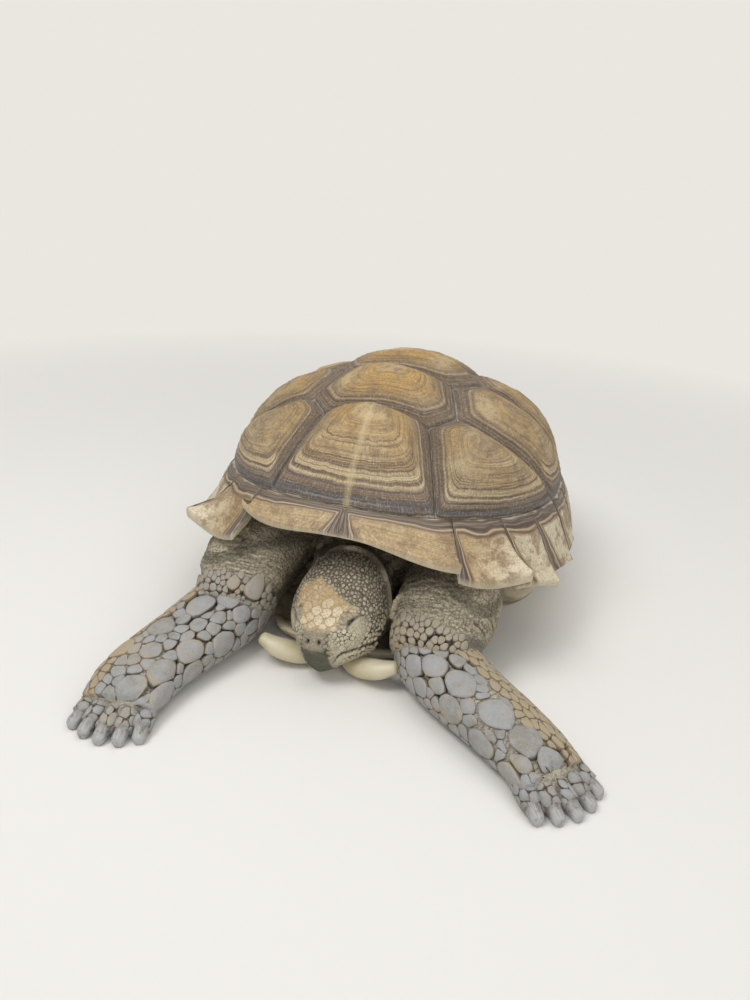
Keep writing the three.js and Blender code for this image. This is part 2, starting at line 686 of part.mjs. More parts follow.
function headSolid(grow = 0) {
  const { left, up } = headFrame();
  const rings = HEAD_SECTIONS.map(([forward, halfWidth, top, bottom, power]) => ovalRing(
    inHead(forward, 0, 0), left, up, halfWidth + grow, top + grow, bottom - grow, power, HEAD_SIDES));
  const back = inHead(HEAD_SECTIONS[0][0] - grow, 0, 0);
  return closedRings(rings, back, inHead(HEAD_TIP[0] + grow, 0, HEAD_TIP[1]));
}

function neckSolid(grow = 0) {
  const side = vector([1, 0, 0]);
  const up = vector([0, Math.sin(rad(NECK_LEAN)), Math.cos(rad(NECK_LEAN))]);
  const rings = NECK_SLICES.map(([x, y, z, halfWidth, halfHeight]) => {
    const high = halfHeight + grow;
    return ovalRing(vector([x, y, z]), side, up, halfWidth + grow, high, -high, ROUND, HEAD_SIDES);
  });
  const front = vector(NECK_SLICES[0]).add(vector([0, -grow, 0]));
  return closedRings(rings, front, vector(NECK_SLICES[NECK_SLICES.length - 1]));
}

function eyeBall(side, grow) {
  const centre = inHead(EYE.at[0], side * EYE.at[1], EYE.at[2]);
  const ball = new THREE.SphereGeometry(EYE.radius + grow, 12, 7);
  ball.deleteAttribute("normal");
  ball.deleteAttribute("uv");
  ball.translate(centre.x, centre.y, centre.z);
  const merged = mergeVertices(ball, 1e-4);
  const points = [];
  for (let i = 0; i < merged.attributes.position.count; i += 1) {
    points.push(new THREE.Vector3().fromBufferAttribute(merged.attributes.position, i));
  }
  return solidFrom(points, [...merged.index.array]);
}

function gularHorn(grow = 0) {
  const points = GULAR_PATH.map(vector);
  const rings = points.map((p, i) => {
    const { side, up } = pathFrame(points, i);
    const depth = GULAR_HALF_DEPTH[i] + grow;
    return ovalRing(p, side, up, GULAR_HALF_WIDTH[i] + grow, depth, -depth, ROUND, GULAR_SIDES);
  });
  const end = points[3].clone().sub(points[2]).normalize();
  return closedRings(rings, points[0], points[3].clone().addScaledVector(end, 3 + grow));
}

// ---------------------------------------------------------------- the animal

const model = new THREE.Group();

// Adds a solid to the model as a named mesh.
function put(name, solid, colour, roughness) {
  const mesh = mainBody(solid).getMesh();
  const geometry = new THREE.BufferGeometry();
  geometry.setAttribute("position", new THREE.BufferAttribute(mesh.vertProperties, 3));
  geometry.setIndex(new THREE.BufferAttribute(mesh.triVerts, 1));
  const material = new THREE.MeshStandardMaterial({ color: colour, roughness, metalness: 0 });
  const piece = new THREE.Mesh(geometry, material);
  piece.name = name;
  model.add(piece);
}

// Carapace
for (let i = 0; i < 5; i += 1) {
  const plate = fieldPlate(vertebralOutline(i), [0, VERTEBRAL_AREOLAE[i]], VERTEBRAL_CROWN);
  put(`vertebral_${i + 1}`, plate, COLOURS.shell, 0.55);
}
for (let i = 0; i < 4; i += 1) {
  const plate = fieldPlate(costalOutline(i), COSTAL_AREOLAE[i], COSTAL_CROWN);
  put(`costal_left_${i + 1}`, plate, COLOURS.shell, 0.55);
  put(`costal_right_${i + 1}`, mirrored(plate), COLOURS.shell, 0.55);
}
for (let i = 0; i + 1 < MARGINAL_SEAM_ANGLES.length; i += 1) {
  put(`marginal_left_${i + 1}`, marginalPlate(i, false), COLOURS.margin, 0.55);
  put(`marginal_right_${i + 1}`, marginalPlate(i, true), COLOURS.margin, 0.55);
}
put("supracaudal", supracaudalPlate(), COLOURS.margin, 0.55);

// Plastron and its gular horns
const plastronRoom = plastronSolid(GAP);
const hornLeft = gularHorn().subtract(plastronRoom);
const hornRoom = gularHorn(GAP).add(mirrored(gularHorn(GAP)));
put("plastron", plastronSolid(0), COLOURS.belly, 0.5);
put("gular_horn_left", hornLeft, COLOURS.horn, 0.4);
put("gular_horn_right", mirrored(hornLeft), COLOURS.horn, 0.4);

// Trunk, neck and head
const rimRoom = rimCutter();
const trunk = trunkSolid().subtract(rimRoom);
const bodyRoom = swollen(trunk, [0, 0, 100], 130).add(plastronRoom).add(rimRoom).add(hornRoom);
const headRoom = headSolid(GAP);
const head = headSolid().subtract(eyeBall(1, GAP)).subtract(eyeBall(-1, GAP)).subtract(bodyRoom);
put("trunk", trunk, COLOURS.flesh, 0.8);
put("head", head, COLOURS.flesh, 0.7);
put("neck", neckSolid().subtract(headRoom).subtract(bodyRoom), COLOURS.flesh, 0.8);
put("eye_left", eyeBall(1, 0), COLOURS.eye, 0.2);
put("eye_right", eyeBall(-1, 0), COLOURS.eye, 0.2);

// Forelegs
const frontRoom = bodyRoom.add(neckSolid(GAP)).add(headRoom);
for (const [name, upperPath, forePath] of [["left", UPPER_ARM_LEFT, FOREARM_LEFT],
  ["right", UPPER_ARM_RIGHT, FOREARM_RIGHT]]) {
  const forearm = withClaws(forePath, FOREARM_POWER, FORE_CLAWS, FORE_CLAW);
  const forearmRoom = limb(forePath, FOREARM_POWER, GAP);
  const upperArm = limb(upperPath, LEG_POWER).subtract(forearmRoom).subtract(frontRoom);
  put(`upper_arm_${name}`, upperArm, COLOURS.flesh, 0.8);
  put(`forearm_${name}`, forearm.subtract(frontRoom), COLOURS.forearm, 0.8);
}

// Hind legs and tail
put("tail", limb(TAIL, ROUND, 0, TAIL_SIDES).subtract(bodyRoom), COLOURS.flesh, 0.8);
const hindFoot = withClaws(SHANK, SHANK_POWER, HIND_CLAWS, HIND_CLAW);
const thigh = SPURS.reduce((whole, one) => whole.add(spur(one)), limb(THIGH, LEG_POWER))
  .subtract(limb(SHANK, SHANK_POWER, GAP));
put("thigh_left", thigh.subtract(bodyRoom), COLOURS.flesh, 0.8);
put("thigh_right", mirrored(thigh).subtract(bodyRoom), COLOURS.flesh, 0.8);
put("hind_foot_left", hindFoot.subtract(bodyRoom), COLOURS.forearm, 0.8);
put("hind_foot_right", mirrored(hindFoot).subtract(bodyRoom), COLOURS.forearm, 0.8);

export default model;
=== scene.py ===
import math
from functools import partial

import bmesh
import bpy
import numpy as np
from mathutils import Matrix, Vector


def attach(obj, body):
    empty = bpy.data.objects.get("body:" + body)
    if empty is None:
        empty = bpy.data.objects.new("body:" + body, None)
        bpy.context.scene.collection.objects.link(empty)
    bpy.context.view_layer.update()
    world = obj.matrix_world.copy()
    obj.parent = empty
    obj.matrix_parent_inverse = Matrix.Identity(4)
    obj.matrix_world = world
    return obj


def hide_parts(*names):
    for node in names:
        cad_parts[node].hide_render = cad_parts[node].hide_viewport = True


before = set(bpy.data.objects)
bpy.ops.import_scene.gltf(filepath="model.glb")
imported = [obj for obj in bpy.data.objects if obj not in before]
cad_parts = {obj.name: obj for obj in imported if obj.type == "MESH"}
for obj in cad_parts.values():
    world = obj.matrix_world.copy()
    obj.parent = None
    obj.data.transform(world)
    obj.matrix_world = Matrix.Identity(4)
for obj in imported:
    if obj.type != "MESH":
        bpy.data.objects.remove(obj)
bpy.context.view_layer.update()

bl_info = {
    "name": "Sulcata tortoise",
    "version": (1, 0, 0),
    "blender": (4, 5, 0),
    "location": "View3D > Sidebar > Tortoise",
    "description": "Builds a still, life-size model of a sulcata tortoise piece by piece",
    "category": "Object",
}

# Shapes are worked out in millimetres, in the frame's axes: the animal faces -Y, its left is +X,
# the floor is z = 0. A mesh gets its points in metres.
MM = 0.001
BODY = "root"

# ---------------------------------------------------------------- sizes of the shell

# Carapace dome: half width, half lengths, heights and arcs from the crown to the rim for the
# front, the side and the rear, superellipse power of the plan and power of the height's cosine.
HALF_WIDTH = 249.0
FRONT_LENGTH = 304.0
REAR_LENGTH = 321.0
CROWN_HEIGHT = 301.0
RIM_HEIGHT = (112.0, 88.0, 85.0)
SWEEP = (61.7, 81.0, 78.0)
SQUARENESS = 2.17
FULLNESS = 0.88
NOSE = 0.07  # the dome climbs this much per millimetre towards the front
PLATE = 8.0  # thickness of a shell plate
MARGIN = 0.8  # share of the crown-to-rim sweep where the marginals begin
SEAM_GAP = 0.25  # clear space between neighbouring plates

# Seams on the dome's map, where X is to the left, Y to the rear and the rim is the unit circle.
VERTEBRAL_ROWS = (-0.43, -0.13, 0.16, 0.45)
VERTEBRAL_NECKS = (0.22, 0.21, 0.2, 0.18)
VERTEBRAL_WAIST = 0.295
WAIST_ROWS = (-0.31, 0.03, 0.32)
COSTAL_SEAM_ANGLES = (26.5, 73.0, 97.0, 122.0, 150.0)
MARGINAL_SEAM_ANGLES = (0.0, 31.5, 47.5, 60.5, 75.0, 88.0, 100.0, 112.0, 125.0, 139.0, 153.0, 168.0)
VERTEBRAL_CROWNS = (-0.52, -0.24, 0.03, 0.31, 0.6)  # where each plate stands highest
COSTAL_CROWNS = ((0.42, -0.47), (0.5, -0.12), (0.5, 0.16), (0.42, 0.43))
VERTEBRAL_AREOLAE = (-0.445, -0.22, 0.04, 0.3, 0.57)  # the oldest field, inside the growth rings
COSTAL_AREOLAE = ((0.392, -0.385), (0.45, -0.11), (0.45, 0.15), (0.39, 0.4))
VERTEBRAL_CROWN = 22.0
COSTAL_CROWN = 17.0

# Marginal lips, from the front to the tail: reach of the rear corner outwards and upwards, and
# the reach at the front corner.
LIP_OUT = (15, 37, 28, 17, 9, 7, 7, 9, 17, 24, 20, 8)
LIP_UP = (26, 34, 0, -2, 0, 0, 0, 2, 6, 10, 8, 0)
LIP_OUT_ROOT = (3, 10, 14, 12, 8, 6, 6, 6, 8, 9, 9, 8)
LIP_UP_ROOT = (3, 10, 4, 0, 0, 0, 0, 0, 2, 2, 2, 0)
RIGHT_FIRST_LIP = (-6, 50)
HORN_CURVE = 2.4  # power by which a lip grows from its front corner to its rear one
FLARE_CURVE = 2.2  # power by which the flare grows from the costals to the lip
WEDGE = (0.16, 0.22, 0.5, 0.6, 0.5, 0.4, 0.35, 0.3, 0.3, 0.3, 0.3, 0.3)  # width of the front rings
NOTCH = (0.115, 4.0, 42.0)  # depth of the notch over the neck, and the angles where it fades
MARGIN_TOP = ((0, 0.0), (0.35, -2.2), (0.7, -1.5), (1, 0.5))
MARGIN_UNDER = ((0, 8.0), (0.35, 12.0), (0.72, 13.0), (1, 0.0))  # at 1 the lip is added
LIP_THICK = (13, 15, 12, 8, 6, 5, 5, 5, 6, 7, 7, 5)  # how thick the rear corner is
LIP_THICK_ROOT = (6, 10, 10, 8, 6, 5, 5, 5, 6, 6, 6, 5)
LIP_LEAN = (0.8, 0.9, 0.7, 0.3, 0, 0, 0, 0, 0.1, 0.2, 0.2, 0)  # share that hangs upright

# Plastron outline as shares of the rim's plan radius, by angle from the front.
BELLY_EDGE = ((0, 0.93), (18, 0.91), (40, 0.74), (57, 0.7), (68, 0.95), (114, 0.95), (126, 0.72),
              (146, 0.7), (168, 0.79), (180, 0.75))
BELLY_FLAT = ((0, 0.82), (18, 0.8), (40, 0.64), (57, 0.6), (68, 0.62), (114, 0.62), (126, 0.62),
              (146, 0.6), (168, 0.68), (180, 0.64))
BRIDGE = ((55.0, 69.0), (113.0, 127.0))
BELLY_RIM = 19.0
BELLY_THICK = 12.0
BRIDGE_CLEAR = 13.0
BELLY_SEAMS = (-235.0, -150.0, -105.0, 70.0, 160.0)  # seams across the plastron

# Gular horn, left side: [x, y, z, half width, half depth] from root to tip.
GULAR = ((16, -270, 12, 16, 9), (34, -296, 14, 15, 11), (60, -307, 22, 13, 11),
         (80, -307, 30, 8.5, 7))

# ---------------------------------------------------------------- sizes of the flesh

# Head frame and sections along it: [forward, half width, top, bottom, superellipse power].
HEAD_AT = (0.0, -269.0, 55.5)
HEAD_YAW, HEAD_PITCH, HEAD_ROLL = -7.0, 10.0, 11.5
HEAD_SECTIONS = ((-76, 37, 52, -28, 2.3), (-54, 46, 58, -40, 2.3), (-30, 54, 61, -48, 2.4),
                 (-8, 58, 54, -49, 2.5), (12, 56.5, 40.5, -46, 2.5), (29, 48, 31, -39.5, 2.5),
                 (44, 36, 24.5, -33.5, 2.5), (56, 25.5, 17.5, -31, 2.5), (64, 15, 9.5, -27.5, 2.4),
                 (67, 4.5, 0, -17.5, 2.2))
EYE_AT = (27.0, 31.5, 17.5)
EYE_RADIUS = 9.5
EYE_DEPTH = 2.7  # how far the eye lies behind where it would just break the skin
EYE_OUT = (0.42, 0.72, 0.55)  # where the eye looks: forward, out and up
SLIT_AT = (30.3, 37.2, 22.0)  # middle of the closed lids

# The neck's upright slices: [x, y, z, half width, half height]. Their tops lean back.
NECK = ((-8, -226, 56, 44, 44), (-8, -214, 60, 55, 50), (-7, -192, 66, 58, 48),
        (-3, -160, 77, 54, 44), (0, -122, 87, 48, 40))
NECK_LEAN = 14.0

# Limbs as [x, y, z, half width, half depth], from the body outwards.
UPPER_ARM_LEFT = ((112, -110, 92, 50, 46), (118, -165, 88, 58, 50), (122, -215, 74, 60, 52),
                  (118, -258, 56, 56, 48), (112, -288, 44, 46, 40))
UPPER_ARM_RIGHT = ((-112, -110, 92, 50, 46), (-128, -160, 88, 58, 50), (-138, -205, 76, 60, 52),
                   (-138, -245, 60, 55, 48), (-136, -276, 46, 46, 40))
FOREARM_LEFT = ((102, -254, 38, 36, 30), (118, -282, 37, 42, 34), (147, -310, 34, 43, 32),
                (181, -336, 30, 41, 29), (214, -360, 26, 40, 26), (242, -381, 21, 39, 22),
                (265, -404, 16, 37, 17))
FOREARM_RIGHT = ((-132, -242, 40, 40, 32), (-140, -272, 38, 48, 36), (-150, -308, 34, 48, 33),
                 (-162, -346, 30, 46, 29), (-174, -386, 26, 44, 26), (-180, -422, 21, 44, 22),
                 (-178, -456, 16, 40, 16))
THIGH = ((96, 150, 70, 46, 44), (124, 190, 62, 50, 46), (148, 226, 52, 46, 42),
         (160, 252, 44, 40, 36))
SHANK = ((160, 214, 48, 36, 38), (172, 238, 42, 40, 40), (182, 264, 33, 42, 33),
         (188, 286, 25, 41, 25), (190, 298, 20, 37, 20))
TAIL = ((0, 205, 44, 34, 30), (-2, 244, 36, 29, 26), (-8, 274, 27, 21, 20),
        (-18, 300, 16, 13, 13), (-28, 318, 9, 6, 6))
LEG_POWER, FOREARM_POWER, SHANK_POWER, ROUND = 2.3, 2.6, 2.4, 2.2

# Claws: fan across the foot as [sideways, forward, turn in degrees]; length, radius and height.
FORE_CLAWS = ((-29, -12, -14), (-15.5, -4, -7), (0, 0, 0), (15.5, -3, 7), (29, -11, 14))
HIND_CLAWS = ((-26, -10, -14), (-9, -4, -5), (9, -4, 5), (26, -10, 14))
FORE_CLAW = (38.0, 7.8, 10.5)
HIND_CLAW = (33.0, 9.5, 11.0)
# The toe round a claw: reach along it in claw lengths, height and half width in the claw's.
TOE_PROFILE = ((-0.75, 1.55, 1.0), (-0.2, 1.3, 1.3), (0.3, 1.08, 1.28), (0.68, 0.84, 1.12))
SPURS = ((150, 214, 70, 26, 10), (166, 222, 50, 24, 10), (136, 226, 84, 18, 8))

SKIN_VOXEL = 2.6
HORN_ROOM = 1.06  # the skin stays this many half widths away from a gular horn's axis

# The camera, in metres and degrees: place, turn about Z, look down, roll, and lens in mm.
CAMERA_PLACE = (0.2205, -0.96, 0.5296)
CAMERA_TURN, CAMERA_DOWN, CAMERA_ROLL, CAMERA_LENS = 14.98, 23.83, 3.43, 25.92
SMALL = 1e-9

# ---------------------------------------------------------------- numbers


def mixed(a, b, t):
    """Value between a and b at share t."""
    return a + (b - a) * t


def eased(low, high, x):
    """0 below low, 1 above high, and a smooth step between."""
    t = np.clip((x - low) / (high - low), 0.0, 1.0)
    return t * t * (3.0 - 2.0 * t)


def bell(x, middle, width):
    """1 at the middle, falling off on both sides as a Gaussian of that width."""
    return np.exp(-(((x - middle) / width) ** 2))


def along(pairs, x):
    """Value of (position, value) pairs at x, eased between neighbours."""
    value = np.full_like(np.asarray(x, float), pairs[0][1])
    for (low, _), (high, target) in zip(pairs, pairs[1:]):
        value = mixed(value, target, eased(low, high, x))
    return value


def spline(stations, shares):
    """Catmull-Rom curve through the stations, at shares from 0 to 1 of their count."""
    knots = np.asarray(stations, float)
    knots = np.vstack([2 * knots[0] - knots[1], knots, 2 * knots[-1] - knots[-2]])
    place = np.clip(np.asarray(shares, float), 0.0, 1.0) * (len(stations) - 1)
    first = np.minimum(place.astype(int), len(stations) - 2)
    t = (place - first)[..., None]
    a, b, c, d = (knots[first + i] for i in range(4))
    return 0.5 * (2 * b + (c - a) * t + (2 * a - 5 * b + 4 * c - d) * t**2
                  + (3 * b - a - 3 * c + d) * t**3)


def unit(vectors):
    """Vectors scaled to length 1."""
    return vectors / np.maximum(np.linalg.norm(vectors, axis=-1, keepdims=True), SMALL)


def scatter_hash(cells, seed):
    """Pseudo-random numbers from 0 to 1 for whole-number lattice cells."""
    mixed_bits = (cells[..., 0] * 73856093) ^ (cells[..., 1] * 19349663) ^ (cells[..., 2] * 83492791)
    mixed_bits = (mixed_bits ^ (seed * 2654435761)) & 0x7FFFFFFF
    mixed_bits = (mixed_bits * 1103515245 + 12345) & 0x7FFFFFFF
    mixed_bits = ((mixed_bits >> 7) ^ mixed_bits) * 69069 & 0x7FFFFFFF
    return mixed_bits / float(0x7FFFFFFF)


def noise(points, size, seed=0):
    """Noise from -1 to 1: random values on a cubic lattice of this size, eased between."""
    scaled = points / size + 31.7
    cell = np.floor(scaled).astype(np.int64)
    part = scaled - cell
    part = part * part * (3 - 2 * part)
    total = np.zeros(points.shape[:-1])
    for corner in np.ndindex(2, 2, 2):
        step = np.array(corner)
        weight = np.prod(np.where(step == 1, part, 1 - part), axis=-1)
        total += weight * scatter_hash(cell + step, seed)
    return 2 * total - 1


# ---------------------------------------------------------------- meshes


def grid_faces(rows, columns, wrap, start=0):
    """Quads of a grid stored row by row. wrap joins the last column to the first."""
    last = columns if wrap else columns - 1
    row, column = np.meshgrid(np.arange(rows - 1), np.arange(last), indexing="ij")
    after = (column + 1) % columns
    quads = np.stack([row * columns + column, row * columns + after,
                      (row + 1) * columns + after, (row + 1) * columns + column], axis=-1)
    return quads.reshape(-1, 4) + start


def fan_faces(ring, centre, flip):
    """Triangles from a closed ring of point numbers to one centre point."""
    after = np.roll(ring, -1)
    middle = np.full_like(ring, centre)
    order = [after, ring, middle] if flip else [ring, after, middle]
    return np.stack(order, axis=-1)


def closed_faces(rows, columns):
    """Faces of rings stored one after another, closed by the two centre points that follow."""
    last = (rows - 1) * columns + np.arange(columns)
    return [grid_faces(rows, columns, True), fan_faces(np.arange(columns), rows * columns, True),
            fan_faces(last, rows * columns + 1, False)]


def volume_of(points, faces):
    """Signed volume of a closed mesh, by the sum of its corner tetrahedra."""
    total = 0.0
    for group in faces:
        for k in range(1, group.shape[1] - 1):
            a, b, c = (points[group[:, i]] for i in (0, k, k + 1))
            total += np.einsum("ij,ij->", a, np.cross(b, c))
    return total / 6.0


def facing_out(points, faces):
    """Faces of a closed body, all turned over if they face inwards."""
    return [group[:, ::-1] for group in faces] if volume_of(points, faces) < 0 else faces


def set_points(mesh, points):
    """Moves a mesh's points to these places, given in millimetres."""
    mesh.vertices.foreach_set("co", (points * MM).astype(np.float32).ravel())


def add_object(name, mesh, fields):
    """New object of a mesh. fields are per-point numbers that the materials read."""
    for field, values in fields.items():
        layer = mesh.attributes.new(field, "FLOAT", "POINT")
        layer.data.foreach_set("value", np.asarray(values, np.float32).ravel())
    piece = bpy.data.objects.new(name, mesh)
    bpy.context.collection.objects.link(piece)
    return piece


def add_mesh(name, points, faces, fields=None, outward=True):
    """New object from points in millimetres and face arrays, with its place in its mesh."""
    if outward:
        faces = facing_out(points, faces)
    mesh = bpy.data.meshes.new(name)
    mesh.vertices.add(len(points))
    set_points(mesh, points)
    corners = np.concatenate([group.ravel() for group in faces])
    sides = np.concatenate([np.full(len(group), group.shape[1]) for group in faces])
    starts = np.concatenate([[0], np.cumsum(sides)[:-1]])
    mesh.loops.add(len(corners))
    mesh.loops.foreach_set("vertex_index", corners.astype(np.int32))
    mesh.polygons.add(len(sides))
    mesh.polygons.foreach_set("loop_start", starts.astype(np.int32))
    mesh.polygons.foreach_set("use_smooth", np.ones(len(sides), bool))
    mesh.update(calc_edges=True)
    mesh.validate()
    return add_object(name, mesh, fields or {})


def finish_piece(piece, material, nodes=()):
    """Gives a piece its material and slot, and lets it ride on the body in the nodes' place."""
    piece.data.materials.clear()
    piece.data.materials.append(material)
    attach(piece, BODY)
    if nodes:
        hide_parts(*nodes)
    return piece


# ---------------------------------------------------------------- material nodes


def linear(hex_colour):
    """Linear colour with alpha from an sRGB hex value such as d8c49a."""
    parts = [int(hex_colour[i:i + 2], 16) / 255 for i in (0, 2, 4)]
    return [c / 12.92 if c <= 0.04045 else ((c + 0.055) / 1.055) ** 2.4 for c in parts] + [1.0]


# Kinds of node: the type, its settings, the sockets that the inputs fill in turn, and the output
# that is used.
TEXTURE_SOCKETS = ("Vector", "Scale", "Detail", "Roughness")
SHADER_SOCKETS = ("Base Color", "Roughness", "IOR")
NOISE = ("ShaderNodeTexNoise", {}, TEXTURE_SOCKETS, 0)
CELLS = ("ShaderNodeTexVoronoi", {}, TEXTURE_SOCKETS, "Distance")
RAMP = ("ShaderNodeValToRGB", {}, (0,), 0)
OVER = ("ShaderNodeMix", {"data_type": "RGBA"}, (0, 6, 7), 2)
BETWEEN = ("ShaderNodeMix", {}, (0, 2, 3), 0)
PLACE = ("ShaderNodeTexCoord", {}, (), "Object")
FIELD = ("ShaderNodeAttribute", {}, (), "Fac")
COMBINE = ("ShaderNodeCombineXYZ", {}, (0, 1, 2), 0)
SPLIT = ("ShaderNodeSeparateXYZ", {}, (0,), 0)
BUMP = ("ShaderNodeBump", {}, ("Height", "Distance", "Strength"), 0)
RAYS = ("ShaderNodeLightPath", {}, (), 0)
SHADER = ("ShaderNodeBsdfPrincipled", {}, (*SHADER_SOCKETS, "Normal"), 0)
COATED = ("ShaderNodeBsdfPrincipled", {}, (*SHADER_SOCKETS, "Coat Weight"), 0)
GLOW = ("ShaderNodeEmission", {}, (0, 1), 0)
AIR = ("ShaderNodeBackground", {}, (0, 1), 0)
MIX_SHADERS = ("ShaderNodeMixShader", {}, (0, 1, 2), 0)
TIMES, PLUS, MINUS, TIMES_PLUS, LARGER, ABSOLUTE, SINE = (
    ("ShaderNodeMath", {"operation": operation}, (0, 1, 2), 0) for operation in
    ("MULTIPLY", "ADD", "SUBTRACT", "MULTIPLY_ADD", "MAXIMUM", "ABSOLUTE", "SINE"))
SCALED, MOVED, LENGTH = (
    ("ShaderNodeVectorMath", {"operation": operation}, (0, 1), output) for operation, output in
    (("MULTIPLY", 0), ("ADD", 0), ("LENGTH", "Value")))


def add_node(tree, colours, kind, *inputs, output=None, **settings):
    """Adds a node of a kind and returns its output. inputs are linked where they are sockets and
    set otherwise, and a text value there is a colour setting's name or a hex colour. Inputs past
    the kind's sockets are the (place, colour or grey) stops of a colour ramp."""
    def value_of(entry):
        return linear(getattr(colours, entry, entry)) if isinstance(entry, str) else entry

    node_type, usual_settings, sockets, usual_output = kind
    added = tree.nodes.new(node_type)
    for setting, value in {**usual_settings, **settings}.items():
        setattr(added, setting, value)
    for key, value in zip(sockets, inputs):
        if isinstance(value, bpy.types.NodeSocket):
            tree.links.new(value, added.inputs[key])
        else:
            added.inputs[key].default_value = value_of(value)
    stops = inputs[len(sockets):]
    for place, _ in stops[2:]:
        added.color_ramp.elements.new(place)
    for element, (place, colour) in zip(added.color_ramp.elements if stops else (), stops):
        element.position = place
        element.color = value_of(colour) if isinstance(colour, str) else (colour,) * 3 + (1.0,)
    return added.outputs[usual_output if output is None else output]


def fill_tree(owner, output_type, build):
    """Gives a material or a world the nodes that build adds, linked to a new output node."""
    owner.use_nodes = True
    tree = owner.node_tree
    tree.nodes.clear()
    surface = build(partial(add_node, tree, bpy.context.scene.tortoise_colours))
    tree.links.new(surface, tree.nodes.new(output_type).inputs["Surface"])


# ---------------------------------------------------------------- the dome


def round_plan(values, angle):
    """Front, side and rear values joined round the plan by the squared cosine of the angle."""
    front, side, rear = values
    c = np.cos(angle)
    return side + (front - side) * np.maximum(c, 0) ** 2 + (rear - side) * np.maximum(-c, 0) ** 2


def rim_plan(angle):
    """Plan of the rim: a superellipse with its own half length in front and behind."""
    s, c = np.sin(angle), -np.cos(angle)
    stretch = (np.abs(s) ** SQUARENESS + np.abs(c) ** SQUARENESS) ** (-1 / SQUARENESS)
    return HALF_WIDTH * stretch * s, np.where(c < 0, FRONT_LENGTH, REAR_LENGTH) * stretch * c


def dome_point(x, y):
    """Point over map point x, y: a sine of the sweep outwards and a powered cosine down."""
    share = np.hypot(x, y)
    angle = np.arctan2(x, -y)
    sweep = np.radians(round_plan(SWEEP, angle))
    rim = round_plan(RIM_HEIGHT, angle)
    low = np.cos(sweep) ** FULLNESS
    climb = (np.cos(np.minimum(share * sweep, np.pi / 2)) ** FULLNESS - low) / (1 - low)
    radius = np.sin(share * sweep) / np.sin(sweep)
    plan_x, plan_y = rim_plan(angle)
    depth = radius * plan_y
    return np.stack([radius * plan_x, depth, mixed(rim, CROWN_HEIGHT, climb) - NOSE * depth], -1)


def dome_normal(x, y):
    """Outward normal of the dome, from its slopes across and along the map."""
    step = 0.002
    across = dome_point(x + step, y) - dome_point(x - step, y)
    back = dome_point(x, y + step) - dome_point(x, y - step)
    return unit(np.cross(across, back))


def over_dome(x, y, height):
    """Point at a height above the dome, along its normal."""
    return dome_point(x, y) + dome_normal(x, y) * np.asarray(height)[..., None]


def on_map(degrees, share):
    """Map point at an angle from the front and a share of the way from the crown to the rim."""
    turn = np.radians(degrees)
    return np.stack([share * np.sin(turn), -share * np.cos(turn)], -1)


# ---------------------------------------------------------------- vertebral and costal plates

OUTLINE_POINTS = 240
PLATE_RINGS = 78
RING_WIDTH = 6.5  # usual width of one season's growth ring


def margin_arc(start, end):
    """Points of the marginals' inner edge on the map, one for each degree or so."""
    return on_map(np.linspace(start, end, int(abs(end - start)) + 2), MARGIN)


def vertebral_outline(number):
    """Corners of a vertebral on the map, the left side and then its mirror image."""
    necks = list(zip(VERTEBRAL_NECKS, VERTEBRAL_ROWS))
    waists = [(VERTEBRAL_WAIST, row) for row in WAIST_ROWS]
    if number == 0:
        left = [*margin_arc(0, COSTAL_SEAM_ANGLES[0]), necks[0]]
    elif number == 4:
        left = [necks[3], *margin_arc(COSTAL_SEAM_ANGLES[4], 180)]
    else:
        left = [necks[number - 1], waists[number - 1], necks[number]]
    left = np.array(left)
    return np.vstack([left, (left * (-1, 1))[::-1]])


def costal_outline(number):
    """Corners of a left costal on the map."""
    start, end = COSTAL_SEAM_ANGLES[number], COSTAL_SEAM_ANGLES[number + 1]
    corners = [(VERTEBRAL_NECKS[number], VERTEBRAL_ROWS[number])]
    if number < 3:
        corners.append((VERTEBRAL_WAIST, WAIST_ROWS[number]))
    corners.extend(margin_arc(end, start))
    if number > 0:
        corners.append((VERTEBRAL_WAIST, WAIST_ROWS[number - 1]))
    return np.array(corners)


def even_outline(corners, count):
    """The closed outline in steps of equal length."""
    closed = np.vstack([corners, corners[:1]])
    reach = np.concatenate([[0], np.cumsum(np.linalg.norm(np.diff(closed, axis=0), axis=1))])
    places = np.linspace(0, reach[-1], count, endpoint=False)
    return np.stack([np.interp(places, reach, closed[:, i]) for i in (0, 1)], axis=-1)


def wandering(points):
    """Map points moved by slow noise, the same on both sides, so that seams run a little
    unevenly. A seam moves alike for both of its plates, and the marginals' edge stays."""
    flat = np.stack([np.abs(points[..., 0]), points[..., 1], 0 * points[..., 0]], axis=-1)
    inside = 1 - eased(0.62, 0.79, np.hypot(points[..., 0], points[..., 1]))
    shift = np.stack([noise(flat, 0.13, 3) * np.tanh(points[..., 0] / 0.05),
                      noise(flat, 0.13, 4)], axis=-1)
    return points + 0.011 * shift * inside[..., None]


def smoothed_round(outline, widths):
    """The closed outline smoothed by Gaussians of these widths, in points: one row for each."""
    waves = np.fft.fft(outline[:, 0] + 1j * outline[:, 1])
    rates = np.fft.fftfreq(len(outline)) * 2 * np.pi
    soft = np.fft.ifft(waves * np.exp(-0.5 * (rates * np.asarray(widths)[:, None]) ** 2), axis=1)
    return np.stack([soft.real, soft.imag], axis=-1)


